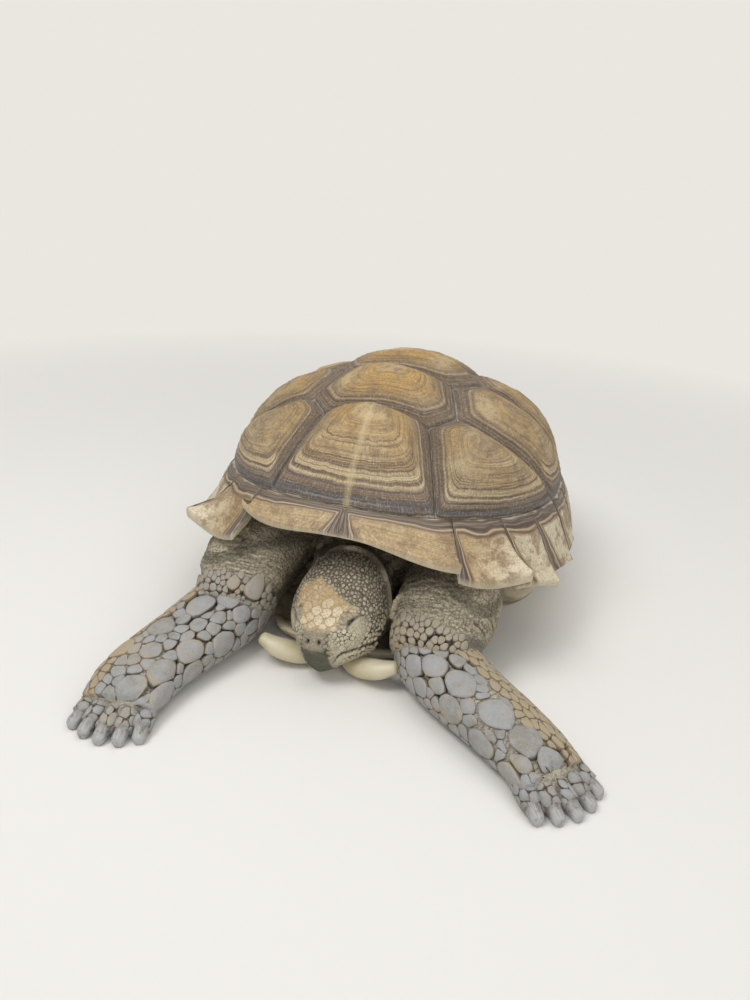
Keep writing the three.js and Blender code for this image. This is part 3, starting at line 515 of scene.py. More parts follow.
def field_plate(corners, areola, crown_at, crown, seed, mirror, core):
    """Points, faces and fields of a vertebral or costal plate. It is a polar grid of its seam
    outline, scaled towards the areola, and its corners round off on the way in. The height is a
    pillow over the dome, with a step and a groove for each growth ring, a grainy flat areola
    and a bevel down into the seam."""
    outline = wandering(even_outline(corners, OUTLINE_POINTS))
    centre = np.array(areola)
    shares = (np.arange(1, PLATE_RINGS + 1) / PLATE_RINGS) ** 0.8
    rounded = smoothed_round(outline, 0.5 + 14 * (1 - shares))
    x, y = np.moveaxis(centre + shares[:, None, None] * (rounded - centre), -1, 0)
    share = np.broadcast_to(shares[:, None], x.shape)
    reach = np.linalg.norm(dome_point(x[-1], y[-1]) - dome_point(*centre), axis=-1)
    inward = (1 - share) * reach
    hump = np.hypot(x - crown_at[0], y - crown_at[1])
    hump = hump / (hump + np.maximum(1 - share, 0.001) * np.hypot(*(outline - crown_at).T))
    height = crown * (1 - hump**1.9)

    turn = np.broadcast_to(np.arange(OUTLINE_POINTS) / OUTLINE_POINTS, x.shape)
    ring = share * reach.mean() / RING_WIDTH
    flat = np.stack([ring, np.sin(2 * np.pi * turn), np.cos(2 * np.pi * turn)], axis=-1)
    ring = ring + 0.45 * noise(flat, 1.7, seed)
    phase = ring - np.floor(ring)
    grooves = -0.75 * bell(phase, 0.5, 0.16) + 0.35 * (0.5 - phase)
    outer = eased(0.2, 0.32, share)
    place = dome_point(x, y)
    rough = 0.5 * noise(place, 5.0, seed) + 0.35 * noise(place, 2.4, seed + 1)
    lumps = 2.0 * noise(place, 42.0, seed + 2) + 0.8 * noise(place, 17.0, seed + 3)
    height = height + outer * grooves + (1 - outer) * (0.6 + rough)
    height = height + lumps * eased(0, 0.25, 1 - share)
    height = height - 2.6 * np.exp(-((inward / 3.2) ** 1.4))
    gap = np.linalg.norm(outline - centre, axis=-1) * HALF_WIDTH
    x[-1], y[-1] = (centre + (outline - centre) * (1 - SEAM_GAP / gap)[:, None]).T

    top = over_dome(x, y, height)
    below = over_dome(x[-1], y[-1], np.full(OUTLINE_POINTS, -PLATE))
    middle = over_dome(*centre, crown - 0.4)
    under = over_dome(*centre, -PLATE)
    points = np.vstack([middle, top.reshape(-1, 3), below, under])
    rim = 1 + (PLATE_RINGS - 1) * OUTLINE_POINTS + np.arange(OUTLINE_POINTS)
    faces = [grid_faces(PLATE_RINGS + 1, OUTLINE_POINTS, True, 1),
             fan_faces(1 + np.arange(OUTLINE_POINTS), 0, True),
             fan_faces(rim + OUTLINE_POINTS, len(points) - 1, False)]
    to_margin = bell(np.hypot(outline[:, 0], outline[:, 1]), MARGIN, 0.06)
    to_margin = smoothed_round(np.stack([to_margin, to_margin], -1), [4.0])[0, :, 0]
    each = {"ring": share, "turn": turn, "lower": np.broadcast_to(to_margin, x.shape),
            "core": np.full(x.shape, core)}
    fields = {key: np.concatenate([[value[0].mean()], value.ravel(), value[-1], [1.0]])
              for key, value in each.items()}
    if mirror:
        points = points * (-1, 1, 1)
    return points, faces, fields


# ---------------------------------------------------------------- marginals

RIM_COLUMNS = 44
LIP_STEPS = 7


def rim_end(degrees):
    """Where the rim ends on the sweep: the notch over the neck shortens it."""
    depth, low, high = NOTCH
    return 1 - depth * (1 - eased(low, high, degrees))


def marginal_surface(degrees, number, share, right):
    """Sections of a marginal at angles, for shares from its front seam to its rear seam. Each
    section runs from the costals down to the lip, round the lip and back under. The lip's reach
    grows towards the rear corner. Returns the points, the run from 0 at the costals to 1 at the
    lip, and 1 on the underside."""
    top_run = np.linspace(0, 1, 30) ** 0.9
    round_turn = np.linspace(-np.pi / 2, np.pi / 2, LIP_STEPS + 2)[1:-1]
    under_run = np.linspace(1, 0, 22)
    round_share = (np.sin(round_turn) + 1) / 2
    run = np.concatenate([top_run, np.ones(LIP_STEPS), under_run])
    under = np.concatenate([0 * top_run, round_share, 0 * under_run + 1])

    lip = RIGHT_FIRST_LIP if right and number == 0 else (LIP_OUT[number], LIP_UP[number])
    horn = (share**HORN_CURVE)[:, None]
    thick = mixed(LIP_THICK_ROOT[number], LIP_THICK[number], share)[:, None]
    depth = np.concatenate([np.interp(top_run, *zip(*MARGIN_TOP)),
                            MARGIN_TOP[-1][1] * (1 - round_share), along(MARGIN_UNDER, under_run)])
    lip_share = np.concatenate([0 * top_run, round_share,
                                eased(MARGIN_UNDER[-2][0], 1, under_run)])
    push = 0.16 * thick * np.concatenate([0 * top_run, np.cos(round_turn), 0 * under_run])
    out = mixed(LIP_OUT_ROOT[number], lip[0], horn)
    up = mixed(LIP_UP_ROOT[number], lip[1], horn)
    start = MARGIN + SEAM_GAP / HALF_WIDTH
    way = start + (rim_end(degrees)[:, None] - start) * run
    angle = np.broadcast_to(degrees[:, None], way.shape)
    x, y = np.moveaxis(on_map(angle, way), -1, 0)
    plan_x, plan_y = rim_plan(np.radians(angle))
    outward = unit(np.stack([plan_x, plan_y, 0 * plan_x], -1))
    normal = dome_normal(x, y)
    upright = np.zeros_like(normal)
    upright[..., 2] = 1
    in_plane = unit(outward * (normal * outward).sum(-1, keepdims=True) + upright * normal[..., 2:])
    flare = run**FLARE_CURVE
    hanging = unit(mixed(in_plane, upright, LIP_LEAN[number]))
    points = dome_point(x, y) - in_plane * depth[:, None] + outward * (out * flare + push)[..., None]
    points = points - hanging * (thick * lip_share)[..., None]
    points = points + upright * (up * flare)[..., None]
    return points, in_plane, np.broadcast_to(run, way.shape), np.broadcast_to(under, way.shape)


def marginal_plate(number, right):
    """Points, faces and fields of a marginal: its sections, with growth rings parallel to the
    costals and to its front seam, and with flat seam ends."""
    last = len(MARGINAL_SEAM_ANGLES) - 1
    start = MARGINAL_SEAM_ANGLES[number]
    end = 180.0 if number == last else MARGINAL_SEAM_ANGLES[number + 1]
    slack = math.degrees(SEAM_GAP / HALF_WIDTH)
    if number == last:
        half = np.linspace(start + slack, end, RIM_COLUMNS)
        degrees = np.concatenate([half, half[-2::-1]])
        share = np.zeros_like(degrees)
        across = np.linspace(0, 1, len(degrees))
    else:
        degrees = np.linspace(start + slack, end - slack, RIM_COLUMNS)
        share = across = (degrees - start) / (end - start)
    points, normal, run, under = marginal_surface(degrees, number, share, right)
    across = np.broadcast_to(across[:, None], run.shape)
    if number == last:
        points[RIM_COLUMNS:] *= (-1, 1, 1)
        normal[RIM_COLUMNS:] *= (-1, 1, 1)

    near_front = across / (0.05 + WEDGE[number] * run**1.3)
    growth = np.minimum(run / 0.34, near_front) if number < last else run / 0.34
    growth = growth + 0.1 * noise(points, 14.0, 11 + number)
    ridge = 0.45 * np.sin(2 * np.pi * growth * 3.2) * (1 - eased(1.0, 1.3, growth))
    ridge = ridge + 0.7 * noise(points, 26.0, 5) + 0.25 * noise(points, 6.0, 6)
    edge = np.minimum(across, 1 - across) * (end - start) / 180 * math.pi * HALF_WIDTH
    if number < last:
        ridge = ridge - 2.0 * np.exp(-((edge / 2.6) ** 1.4))
    ridge = ridge - 1.8 * np.exp(-((run * 55 / 2.6) ** 1.4))
    points = points + normal * (ridge * (1 - under) * (1 - eased(0.9, 1.0, run)))[..., None]
    points, faces = closed_rings(points)
    each = {"run": run, "across": across, "under": under, "growth": growth}
    fields = {key: np.concatenate([value.ravel(), [0.5, 0.5]]) for key, value in each.items()}
    if right:
        points = points * (-1, 1, 1)
    return points, faces, fields


# ---------------------------------------------------------------- plastron and gular horns


def belly_surface(degrees, turn, thick):
    """Point of the belly's profile at an angle from the front. The turn runs from the flat
    underside at 0 to the upright edge at 90 degrees. thick moves it inwards."""
    folded = np.where(degrees > 180, 360 - degrees, degrees)
    bridge = eased(*BRIDGE[0], folded) - eased(*BRIDGE[1], folded)
    plan_x, plan_y = rim_plan(np.radians(folded))
    radius = np.hypot(plan_x, plan_y)
    edge_x, edge_y = np.moveaxis(on_map(folded, rim_end(folded)), -1, 0)
    edge_height = mixed(BELLY_RIM, dome_point(edge_x, edge_y)[..., 2] - BRIDGE_CLEAR, bridge)
    s, c = np.sin(np.radians(turn)), np.cos(np.radians(turn))
    reach = mixed(along(BELLY_FLAT, folded), along(BELLY_EDGE, folded), s) * radius - thick * s
    height = edge_height * (1 - c) + thick * c
    side = np.where(degrees > 180, -1.0, 1.0)
    return np.stack([side * plan_x / radius * reach, plan_y / radius * reach, height], -1)


def plastron_shape():
    """Points, faces and fields of the plastron: a dish whose sides rise to the bridges, with a
    groove along the middle and along each seam across it."""
    columns = 240
    degrees = np.arange(columns) * 360 / columns
    rows = [belly_surface(degrees, 0.0, 0.0) * (share, share, 1) for share in
            np.linspace(0.03, 0.97, 56)]
    rows += [belly_surface(degrees, turn, 0.0) for turn in np.linspace(0, 90, 22)]
    rows += [belly_surface(degrees, turn, BELLY_THICK) for turn in np.linspace(90, 0, 12)]
    rows = np.array(rows)
    outer = np.arange(len(rows)) < 78
    x, y = rows[..., 0], rows[..., 1]
    lines = np.abs(x + 3 * np.sin(y / 40))
    for seam in BELLY_SEAMS:
        lines = np.minimum(lines, np.abs(y - seam - 10 * np.cos(x / 45)))
    groove = 1.6 * np.exp(-((lines / 2.6) ** 2)) * outer[:, None]
    rows[..., 2] += groove * (rows[..., 2] < BELLY_RIM)
    points = np.vstack([rows.reshape(-1, 3), [[0, 0, 0]], [[0, 0, BELLY_THICK]]])
    line = np.concatenate([lines.ravel(), [0.0, 9.0]])
    return points, closed_faces(len(rows), columns), {"line": line}


def oval_ring(centre, side, up, half_width, top, bottom, power, turn):
    """Superellipse round a centre, flattened where it would pass the floor."""
    c, s = np.cos(turn), np.sin(turn)
    across = half_width * np.sign(c) * np.abs(c) ** (2 / power)
    high = np.where(s > 0, top, bottom) * np.abs(s) ** (2 / power)
    points = centre + side * across[..., None] + up * high[..., None]
    points[..., 2] = np.maximum(points[..., 2], 0.0)
    return points


def path_frame(stations, share):
    """Side and up directions of a path: side is level, up is square to it and to the path."""
    step = 0.01
    ahead = unit(spline(stations, share + step)[..., :3] - spline(stations, share - step)[..., :3])
    side = unit(np.cross(ahead, (0.0, 0.0, 1.0)))
    return side, np.cross(side, ahead), ahead


def tube_point(stations, power, share, turn, lift=0.0):
    """Point on a limb: the spline's place, moved out by a superellipse of the half width and
    half depth there, and by the lift."""
    station = spline(stations, share)
    side, up, _ = path_frame(stations, share)
    depth = station[..., 4] + lift
    return oval_ring(station[..., :3], side, up, station[..., 3] + lift, depth, -depth, power, turn)


def closed_tube(stations, power, rows=40, columns=48, caps=6, bulge=0.5):
    """Closed limb surface. Past its ends it goes on as half an oval, bulge times its depth."""
    arc = np.linspace(0, np.pi / 2, caps + 1)[1:]
    share = np.concatenate([np.zeros(caps), np.linspace(0, 1, rows), np.ones(caps)])
    beyond = np.concatenate([-np.sin(arc[::-1]), np.zeros(rows), np.sin(arc)])
    shrink = np.concatenate([np.cos(arc[::-1]), np.ones(rows), np.cos(arc)])
    shrink = np.maximum(shrink, 0.02)
    station = spline(stations, share)
    side, up, ahead = path_frame(stations, share)
    centre = station[:, :3] + ahead * (beyond * bulge * station[:, 4])[:, None]
    turn = np.arange(columns) * 2 * np.pi / columns
    width, depth = ((station[:, k] * shrink)[:, None] + 0 * turn for k in (3, 4))
    points = oval_ring(centre[:, None], side[:, None], up[:, None], width, depth, -depth, power,
                       turn[None] + 0 * width)
    return closed_rings(points)


def closed_rings(rings):
    """Points and faces of a closed body from rings of equal length."""
    ends = [rings[0].mean(axis=0), rings[-1].mean(axis=0)]
    return np.vstack([rings.reshape(-1, 3), ends]), closed_faces(*rings.shape[:2])


def gular_horn():
    """Left gular horn: a thick, smooth, flattened prong."""
    return closed_tube(GULAR, ROUND, rows=60, columns=48, caps=8, bulge=0.7)


# ---------------------------------------------------------------- head and neck shapes


def head_axes():
    """Forward, left and up of the head: turned about Z, then X, then Y."""
    turn = (Matrix.Rotation(math.radians(HEAD_YAW), 3, "Z")
            @ Matrix.Rotation(math.radians(HEAD_PITCH), 3, "X")
            @ Matrix.Rotation(math.radians(-HEAD_ROLL), 3, "Y"))
    left, back, up = (np.array(turn.col[i]) for i in range(3))
    return -back, left, up


HEAD_FORWARD, HEAD_LEFT, HEAD_UP = head_axes()


def in_head(forward, left, up):
    """Place of head coordinates in the frame."""
    parts = ((forward, HEAD_FORWARD), (left, HEAD_LEFT), (up, HEAD_UP))
    return np.array(HEAD_AT) + sum(np.asarray(value)[..., None] * axis for value, axis in parts)


def to_head(points):
    """Forward, left and up of points in the head's own frame."""
    away = points - np.array(HEAD_AT)
    return away @ HEAD_FORWARD, away @ HEAD_LEFT, away @ HEAD_UP


def head_point(share, turn, lift=0.0):
    """Point on the head: a superellipse section with its own top and bottom, with the lift."""
    section = spline(HEAD_SECTIONS, share)
    centre = in_head(section[..., 0], 0.0 * share, 0.0 * share)
    return oval_ring(centre, HEAD_LEFT, HEAD_UP, section[..., 1] + lift, section[..., 2] + lift,
                     section[..., 3] - lift, section[..., 4], turn)


def neck_point(share, turn, lift=0.0):
    """Point on the neck: upright ovals whose tops lean back."""
    section = spline(NECK, share)
    lean = math.radians(NECK_LEAN)
    up = np.array((0.0, math.sin(lean), math.cos(lean)))
    high = section[..., 4] + lift
    return oval_ring(section[..., :3], np.array((1.0, 0, 0)), up, section[..., 3] + lift, high,
                     -high, ROUND, turn)


def tube_grid(rows, columns):
    """Shares along a tube and angles round it, as two grids."""
    return np.meshgrid(np.linspace(0, 1, rows), np.arange(columns) * 2 * np.pi / columns,
                       indexing="ij")


def ring_body(surface, rows, columns):
    """Closed body from a surface of share and turn."""
    return closed_rings(surface(*tube_grid(rows, columns)))


def horn_body(ring, share, turn):
    """Closed body of a claw or spur from its rings, with the fields that its material reads."""
    fields = {"reach": np.concatenate([share.ravel(), [0, 1]]),
              "turn": np.concatenate([turn.ravel(), [0, 0]])}
    return (*closed_rings(ring), fields)


# ---------------------------------------------------------------- feet and claws


def foot_fan(stations, claws):
    """Places and headings of a foot's claws, fanned across the end of its path."""
    end, before = np.array(stations[-1], float), np.array(stations[-2], float)
    heading = math.atan2(end[0] - before[0], before[1] - end[1])
    fan = []
    for sideways, forward, turn in claws:
        x = end[0] + sideways * math.cos(heading) + forward * math.sin(heading)
        y = end[1] + sideways * math.sin(heading) - forward * math.cos(heading)
        fan.append((x, y, heading + math.radians(turn)))
    return fan


def toe_stations(place, size, height):
    """Stations of the toe that holds a claw, from inside the foot to the claw's cuticle."""
    x, y, heading = place
    length, radius, _ = size
    ahead = np.array((math.sin(heading), -math.cos(heading)))
    stations = []
    for reach, drop, wide in TOE_PROFILE:
        spot = (x, y) + ahead * length * reach
        stations.append((spot[0], spot[1], height * drop, radius * wide, height * drop * 0.98))
    return stations


def claw_shape(place, size):
    """One blunt worn claw: a flattened arch that narrows a little, curves down to the floor and
    ends in a rounded, slightly ragged edge, with fine grooves along it."""
    x, y, heading = place
    length, radius, height = size
    share, turn = tube_grid(26, 28)
    side = np.array((math.cos(heading), math.sin(heading), 0.0))
    ahead = np.array((math.sin(heading), -math.cos(heading), 0.0))
    end = np.clip((share - 0.88) / 0.12, 0, 1)
    taper = (1 - 0.14 * share**2.2) * np.sqrt(np.maximum(1 - 0.75 * end**2, 0.05))
    middle = height * (1 - 0.5 * share**2.2)
    centre = np.array((x, y, 0.0)) + ahead * (share * length * 1.04)[..., None]
    centre = centre + np.array((0, 0, 1.0)) * middle[..., None]
    groove = 1 + 0.02 * np.sin(9 * turn) * np.sin(turn)
    ring = oval_ring(centre, side, np.array((0, 0, 1.0)), radius * taper * groove,
                     middle * 0.92 * groove * np.sqrt(taper), -middle, 2.4, turn)
    return horn_body(ring, share, turn)


def spur_shape(x, y, z, length, radius):
    """Conical spur on the back of the thigh, pointing backwards."""
    share, turn = tube_grid(22, 20)
    centre = np.stack([x + 6 * share, y - 4 + (length + 4) * share, z - 7 * share**1.3], -1)
    size = radius * np.sqrt(np.maximum(1 - share**1.7, 0.004)) * (1 - 0.25 * share)
    side, up = np.array((1.0, 0, 0)), np.array((0, 0, 1.0))
    return horn_body(oval_ring(centre, side, up, size, size, -size, 2.0, turn), share, turn)


def joined(shapes):
    """One shape from several (points, faces, fields) with the same fields."""
    points = np.vstack([shape[0] for shape in shapes])
    starts = np.concatenate([[0], np.cumsum([len(shape[0]) for shape in shapes])[:-1]])
    faces = [group + start for shape, start in zip(shapes, starts) for group in shape[1]]
    fields = {key: np.concatenate([shape[2][key] for shape in shapes]) for key in shapes[0][2]}
    return points, faces, fields


def flipped(shape):
    """The mirror image of a shape, for the other side of the animal."""
    points, faces, fields = shape
    return points * (-1, 1, 1), [group[:, ::-1] for group in faces], fields


# ---------------------------------------------------------------- the skin


def mirrored_path(stations):
    """The path on the other side of the animal."""
    return tuple((-x, *rest) for x, *rest in stations)


THIGH_RIGHT, SHANK_RIGHT = mirrored_path(THIGH), mirrored_path(SHANK)
LEGS = {
    "upper_arm_left": (UPPER_ARM_LEFT, LEG_POWER),
    "upper_arm_right": (UPPER_ARM_RIGHT, LEG_POWER),
    "forearm_left": (FOREARM_LEFT, FOREARM_POWER),
    "forearm_right": (FOREARM_RIGHT, FOREARM_POWER),
    "thigh_left": (THIGH, LEG_POWER),
    "hind_foot_left": (SHANK, SHANK_POWER),
    "thigh_right": (THIGH_RIGHT, LEG_POWER),
    "hind_foot_right": (SHANK_RIGHT, SHANK_POWER),
}
FLESH_NODES = ["trunk", "head", "neck", "tail"] + [
    f"{part}_{side}" for part in ("upper_arm", "forearm", "thigh", "hind_foot")
    for side in ("left", "right")]


def flesh_bodies():
    """Every closed body that the skin is drawn round: limbs, toes, tail, neck and head."""
    bodies = [closed_tube(stations, power) for stations, power in LEGS.values()]
    bodies.append(closed_tube(TAIL, ROUND, columns=32))
    bodies.append(ring_body(neck_point, 60, 72))
    bodies.append(ring_body(head_point, 90, 96))
    for stations, claws, size in ((FOREARM_LEFT, FORE_CLAWS, FORE_CLAW),
                                  (FOREARM_RIGHT, FORE_CLAWS, FORE_CLAW),
                                  (SHANK, HIND_CLAWS, HIND_CLAW),
                                  (SHANK_RIGHT, HIND_CLAWS, HIND_CLAW)):
        for place in foot_fan(stations, claws):
            bodies.append(closed_tube(toe_stations(place, size, size[2]), 2.2, rows=14, columns=24,
                                      caps=4, bulge=0.7))
    return bodies


def mesh_arrays(mesh):
    """Points in millimetres and edges of a mesh."""
    points = np.empty(len(mesh.vertices) * 3)
    mesh.vertices.foreach_get("co", points)
    edges = np.empty(len(mesh.edges) * 2, np.int32)
    mesh.edges.foreach_get("vertices", edges)
    return points.reshape(-1, 3) / MM, edges.reshape(-1, 2)


def neighbour_mean(values, edges):
    """Mean of each point's neighbours along the edges."""
    count = len(values)
    degree = np.bincount(edges.ravel(), minlength=count)
    total = np.stack([np.bincount(edges[:, 0], values[edges[:, 1], k], count)
                      + np.bincount(edges[:, 1], values[edges[:, 0], k], count)
                      for k in range(values.shape[1])], axis=-1)
    return total / np.maximum(degree, 1)[:, None]


def relaxed(points, edges, rounds):
    """Points smoothed by turns of shrinking and swelling, so that their volume stays."""
    for turn in range(2 * rounds):
        share = 0.55 if turn % 2 == 0 else -0.56
        points = points + share * (neighbour_mean(points, edges) - points)
    return points


def path_place(points, stations):
    """For each point its share along a path, its distance from it in half widths, its angle
    round the path, and its offset from it."""
    shares = np.linspace(0, 1, 50)
    line = spline(stations, shares)
    apart = np.linalg.norm(points[:, None] - line[None, :, :3], axis=-1)
    nearest = apart.argmin(axis=1)
    station = line[nearest]
    side, up, _ = path_frame(stations, shares[nearest])
    away = points - station[:, :3]
    across, high = (away * side).sum(-1), (away * up).sum(-1)
    ratio = np.hypot(across / station[:, 3], high / station[:, 4])
    return shares[nearest], ratio, np.arctan2(high, across), away


def path_length(stations):
    """Length of a path in millimetres."""
    line = spline(stations, np.linspace(0, 1, 60))[:, :3]
    return np.linalg.norm(np.diff(line, axis=0), axis=1).sum()


def mouth_height(forward):
    """Height of the mouth line on the side of the head. It climbs a little towards the front,
    and drops at the tip, where the upper beak hooks over the lower."""
    line = -12.0 + 0.24 * (forward - 30)
    return line + 4.0 * eased(20, 6, forward) - 12.0 * eased(53, 64, forward)


def rim_line(left, up):
    """How far forward the loose skin behind the head reaches: least on top, most at the jaw."""
    turn = (90 - np.degrees(np.arctan2(up, np.abs(left)))) / 130
    return np.minimum(132 * turn**3 - 56, 12.0)


def eye_axes(forward, up):
    """Distance along the closed lids' slit, and above it. The slit's rear end is higher."""
    ahead, rise = forward - SLIT_AT[0], up - SLIT_AT[2]
    return 0.945 * ahead - 0.326 * rise, 0.945 * rise + 0.326 * ahead


def head_ratio(points):
    """Distance of points from the head's axis, as a share of its section there."""
    forward, left, up = to_head(points)
    sections = np.array(HEAD_SECTIONS, float)
    width, top, bottom = (np.interp(forward, sections[:, 0], sections[:, k]) for k in (1, 2, 3))
    return np.hypot(left / width, up / np.where(up > 0, top, bottom))


def head_relief(points):
    """How far the head's skin stands out from its smooth form, and its colour fields. It has
    puffy lids with a narrow slit, nostrils, the mouth's line over a pale ridge, the beak, a
    hollow before the eye, and behind it all the thick rim of the loose skin with its folds."""
    forward, left, up = to_head(points)
    side = np.abs(left)
    on_head = eased(1.5, 1.3, head_ratio(points)) * (forward > -76)
    along_eye, over_eye = eye_axes(forward, up)
    flank = eased(20, 29, side)
    lids = bell(along_eye, 0, 11.5) * bell(over_eye, 0, 8.0) * flank
    slit = bell(along_eye, 0, 9.8) * bell(over_eye + 0.02 * along_eye**2, 0.4, 1.1) * flank
    crease = bell(np.hypot(along_eye / 12.5, over_eye / 8.0), 1.0, 0.12) * flank * (over_eye > -3)
    mouth_gap = up - mouth_height(forward)
    mouth_reach = eased(4, 14, forward)
    mouth = bell(mouth_gap, 0, 1.5) * mouth_reach * eased(62, 56, forward)
    jaw_line = bell(mouth_gap, -4.2, 2.4) * eased(2, 14, forward) * eased(60, 48, forward)
    jaw_fold = bell(mouth_gap, -9.5, 2.2) * eased(-4, 8, forward) * eased(56, 44, forward)
    nose = np.sqrt(((side - 7.1) / 2.2) ** 2 + ((forward - 60.5) / 3.0) ** 2 + ((up - 13) / 3.0) ** 2)
    nostril = np.exp(-(nose**3))
    hollow = bell(forward, 44, 8) * bell(up, 13, 8) * eased(14, 24, side)
    ragged = 0.9 * noise(points, 5.0, 71)
    beak = eased(53, 57.5, forward + ragged) * eased(9, 3, up + ragged) * eased(19, 15, side)
    snout = eased(47, 53, forward + 2 * ragged) * eased(2, 8, up) * eased(18, 14, side)
    muzzle = bell(side, 16.5, 2.0) * eased(42, 48, forward) * eased(-8, 0, up) * eased(22, 16, up)
    behind = rim_line(left, up) - forward + 1.2 * noise(points, 12.0, 44)
    shown = eased(-20, -8, up) * on_head
    rim = bell(behind, 2.8, 3.9) * shown
    groove = bell(behind, -2.6, 1.8) * shown
    sleeve = eased(-0.5, 1.5, behind) * eased(48, 20, behind) * shown
    fold = sum(bell(behind, place, 2.2) for place in (8.5, 16.5, 26.0)) * shown
    relief = 2.8 * lids - 4.6 * slit - 0.9 * crease - 2.2 * mouth - 1.2 * jaw_fold + 1.5 * jaw_line
    relief = relief - 4.0 * nostril - 1.3 * hollow + 0.9 * beak * bell(mouth_gap, 2.0, 2.2)
    relief = relief - 1.3 * muzzle + 0.8 * bell(side, 0, 3.5) * beak
    relief = relief * eased(0, -4, behind) * on_head
    relief = relief + 3.2 * rim - 1.7 * groove + 2.4 * sleeve - 2.0 * fold
    # Painted shade: the mouth's line, the jaw's fold, the crease round the lids, the muzzle's groove,
    # and the groove and folds behind the hood are painted dark as the shade in them.
    dark = np.clip(mouth + 0.5 * jaw_fold + 0.6 * crease + 0.5 * muzzle, 0, 1) * (behind < 0)
    dark = np.maximum(dark * on_head, np.clip(0.8 * groove + 0.5 * fold, 0, 1))
    fields = {"slit": slit, "dark_line": dark, "beak": beak * on_head, "nostril": nostril,
              "lids": lids * on_head, "snout": snout * on_head,
              "rim": np.clip(rim + 0.7 * jaw_line * on_head, 0, 1)}
    return relief, fields


def head_tints(points):
    """Where the head's colours lie: the tan patch on the crown, which reaches further back on
    the right, the dark nape between it and the rim of loose skin, and the cheeks."""
    forward, left, up = to_head(points)
    ragged = 2.5 * noise(points, 9.0, 61)
    rear = np.interp(left, (-34, -12, 17, 40), (-1, -5, 10, 17)) + ragged
    front = 51 - 29 * (np.abs(left) / 40) ** 2.5 + 0.5 * ragged
    crown = eased(rear - 3, rear + 3, forward) * eased(front + 2, front - 2, forward)
    crown = crown * eased(2, 8, up) * eased(43, 37, np.abs(left) + ragged)
    ahead = eased(0, 4, forward - rim_line(left, up)) * eased(1.4, 1.2, head_ratio(points))
    nape = ahead * (1 - crown) * eased(-4, 12, up) * eased(34, 12, forward)
    return {"crown": crown * ahead, "nape": nape, "cheek": ahead * (1 - crown) * (1 - nape)}


SKIN_FIELDS = ("slit", "dark_line", "beak", "nostril", "lids", "crown", "nape", "dust", "rim",
               "wrinkle", "cheek", "snout", "fold_at")


def skin_relief(points):
    """How far the skin stands out along its normal, and its colour fields. Rings of wrinkles
    run round each limb, closest at the elbow and knee. Lengthwise folds run down the neck, and
    the hood behind the head has a thick pale rim."""
    count = len(points)
    relief, fields = head_relief(points)
    fields = {key: np.zeros(count) for key in SKIN_FIELDS} | fields
    forward, left, up = to_head(points)
    y = points[:, 1]
    slow = noise(points, 22.0, 21)
    wrinkle, armoured, joint_shade, fold_at = np.zeros(count), np.zeros(count), np.zeros(count), y
    for name, (stations, _) in LEGS.items():
        share, ratio, _, _ = path_place(points, stations)
        inside = eased(1.45, 1.1, ratio)
        reach = share * path_length(stations)
        upper = name.startswith(("upper", "thigh"))
        period = 9.0 if upper else 14.0
        fold_at = mixed(fold_at, reach, inside)
        wave = np.sin(2 * np.pi * reach / period + 5.0 * slow + 2.4 * noise(points, 9.0, 5))
        strength = 1.2 * eased(0.1, 0.5, share) if upper else 0.35 * eased(0.4, 0.1, share)
        wrinkle += inside * strength * wave * (0.55 + 0.45 * noise(points, 16.0, 6))
        if name.startswith(("forearm", "hind")):
            sunk = 1 + 3.0 * eased(0.8, 0.93, share) + 4.0 * eased(0.3, 0.12, share)
            armoured = np.maximum(armoured, sunk * eased(1.6, 1.3, ratio) * eased(0.0, 0.07, share))
            # Painted shade: a dark band round the root of each forearm and shin stands for the shade
            # in the crease where it leaves the limb above.
            joint_shade = np.maximum(joint_shade, eased(1.7, 1.3, ratio) * bell(share, 0.03, 0.06))
        if name.startswith("upper"):
            sunk = 1 + 4.0 * eased(0.93, 0.98, share)
            armoured = np.maximum(armoured, sunk * eased(1.6, 1.3, ratio) * eased(0.85, 0.88, share))
    neck_ratio, neck_turn = neck_place(points)
    on_neck = eased(1.4, 1.12, neck_ratio) * eased(24, 40, rim_line(left, up) - forward)
    folds = np.sin(neck_turn * 17 + 2.2 * noise(points, 26.0, 8)) * eased(-238, -215, y)
    rings = np.sin(2 * np.pi * y / 10 + 2.4 * slow)
    wrinkle += on_neck * (1.2 * folds + 0.4 * rings)
    fold_at = mixed(fold_at, 60 * neck_turn, on_neck)
    tints = head_tints(points)
    on_face = np.clip(tints["crown"] + tints["nape"] + tints["cheek"], 0, 1)
    wrinkle = wrinkle * (1 - on_face)
    relief = relief + wrinkle + (0.9 * slow + 0.35 * noise(points, 7.0, 12)) * (1 - 0.7 * on_face)
    relief = mixed(relief, -1.2, np.minimum(armoured, 1)) - np.maximum(armoured - 1, 0)
    armoured = np.minimum(armoured, 1)
    fields["wrinkle"] = wrinkle * (1 - armoured)
    fields["dark_line"] = np.maximum(fields["dark_line"], 0.8 * joint_shade)
    fields["dust"], fields["fold_at"] = armoured, fold_at
    tints["crown"] = tints["crown"] * (1 - np.clip(1.5 * fields["lids"], 0, 1))
    fields.update(tints)
    return relief, fields


def neck_place(points):
    """Distance in half widths and angle of points on the neck's upright slices."""
    slices = np.array(NECK, float)
    centre = np.stack([np.interp(points[:, 1], slices[:, 1], slices[:, k]) for k in range(5)], -1)
    across, high = points[:, 0] - centre[:, 0], points[:, 2] - centre[:, 2]
    ratio = np.hypot(across / centre[:, 3], high / centre[:, 4])
    return ratio, np.arctan2(high, across)


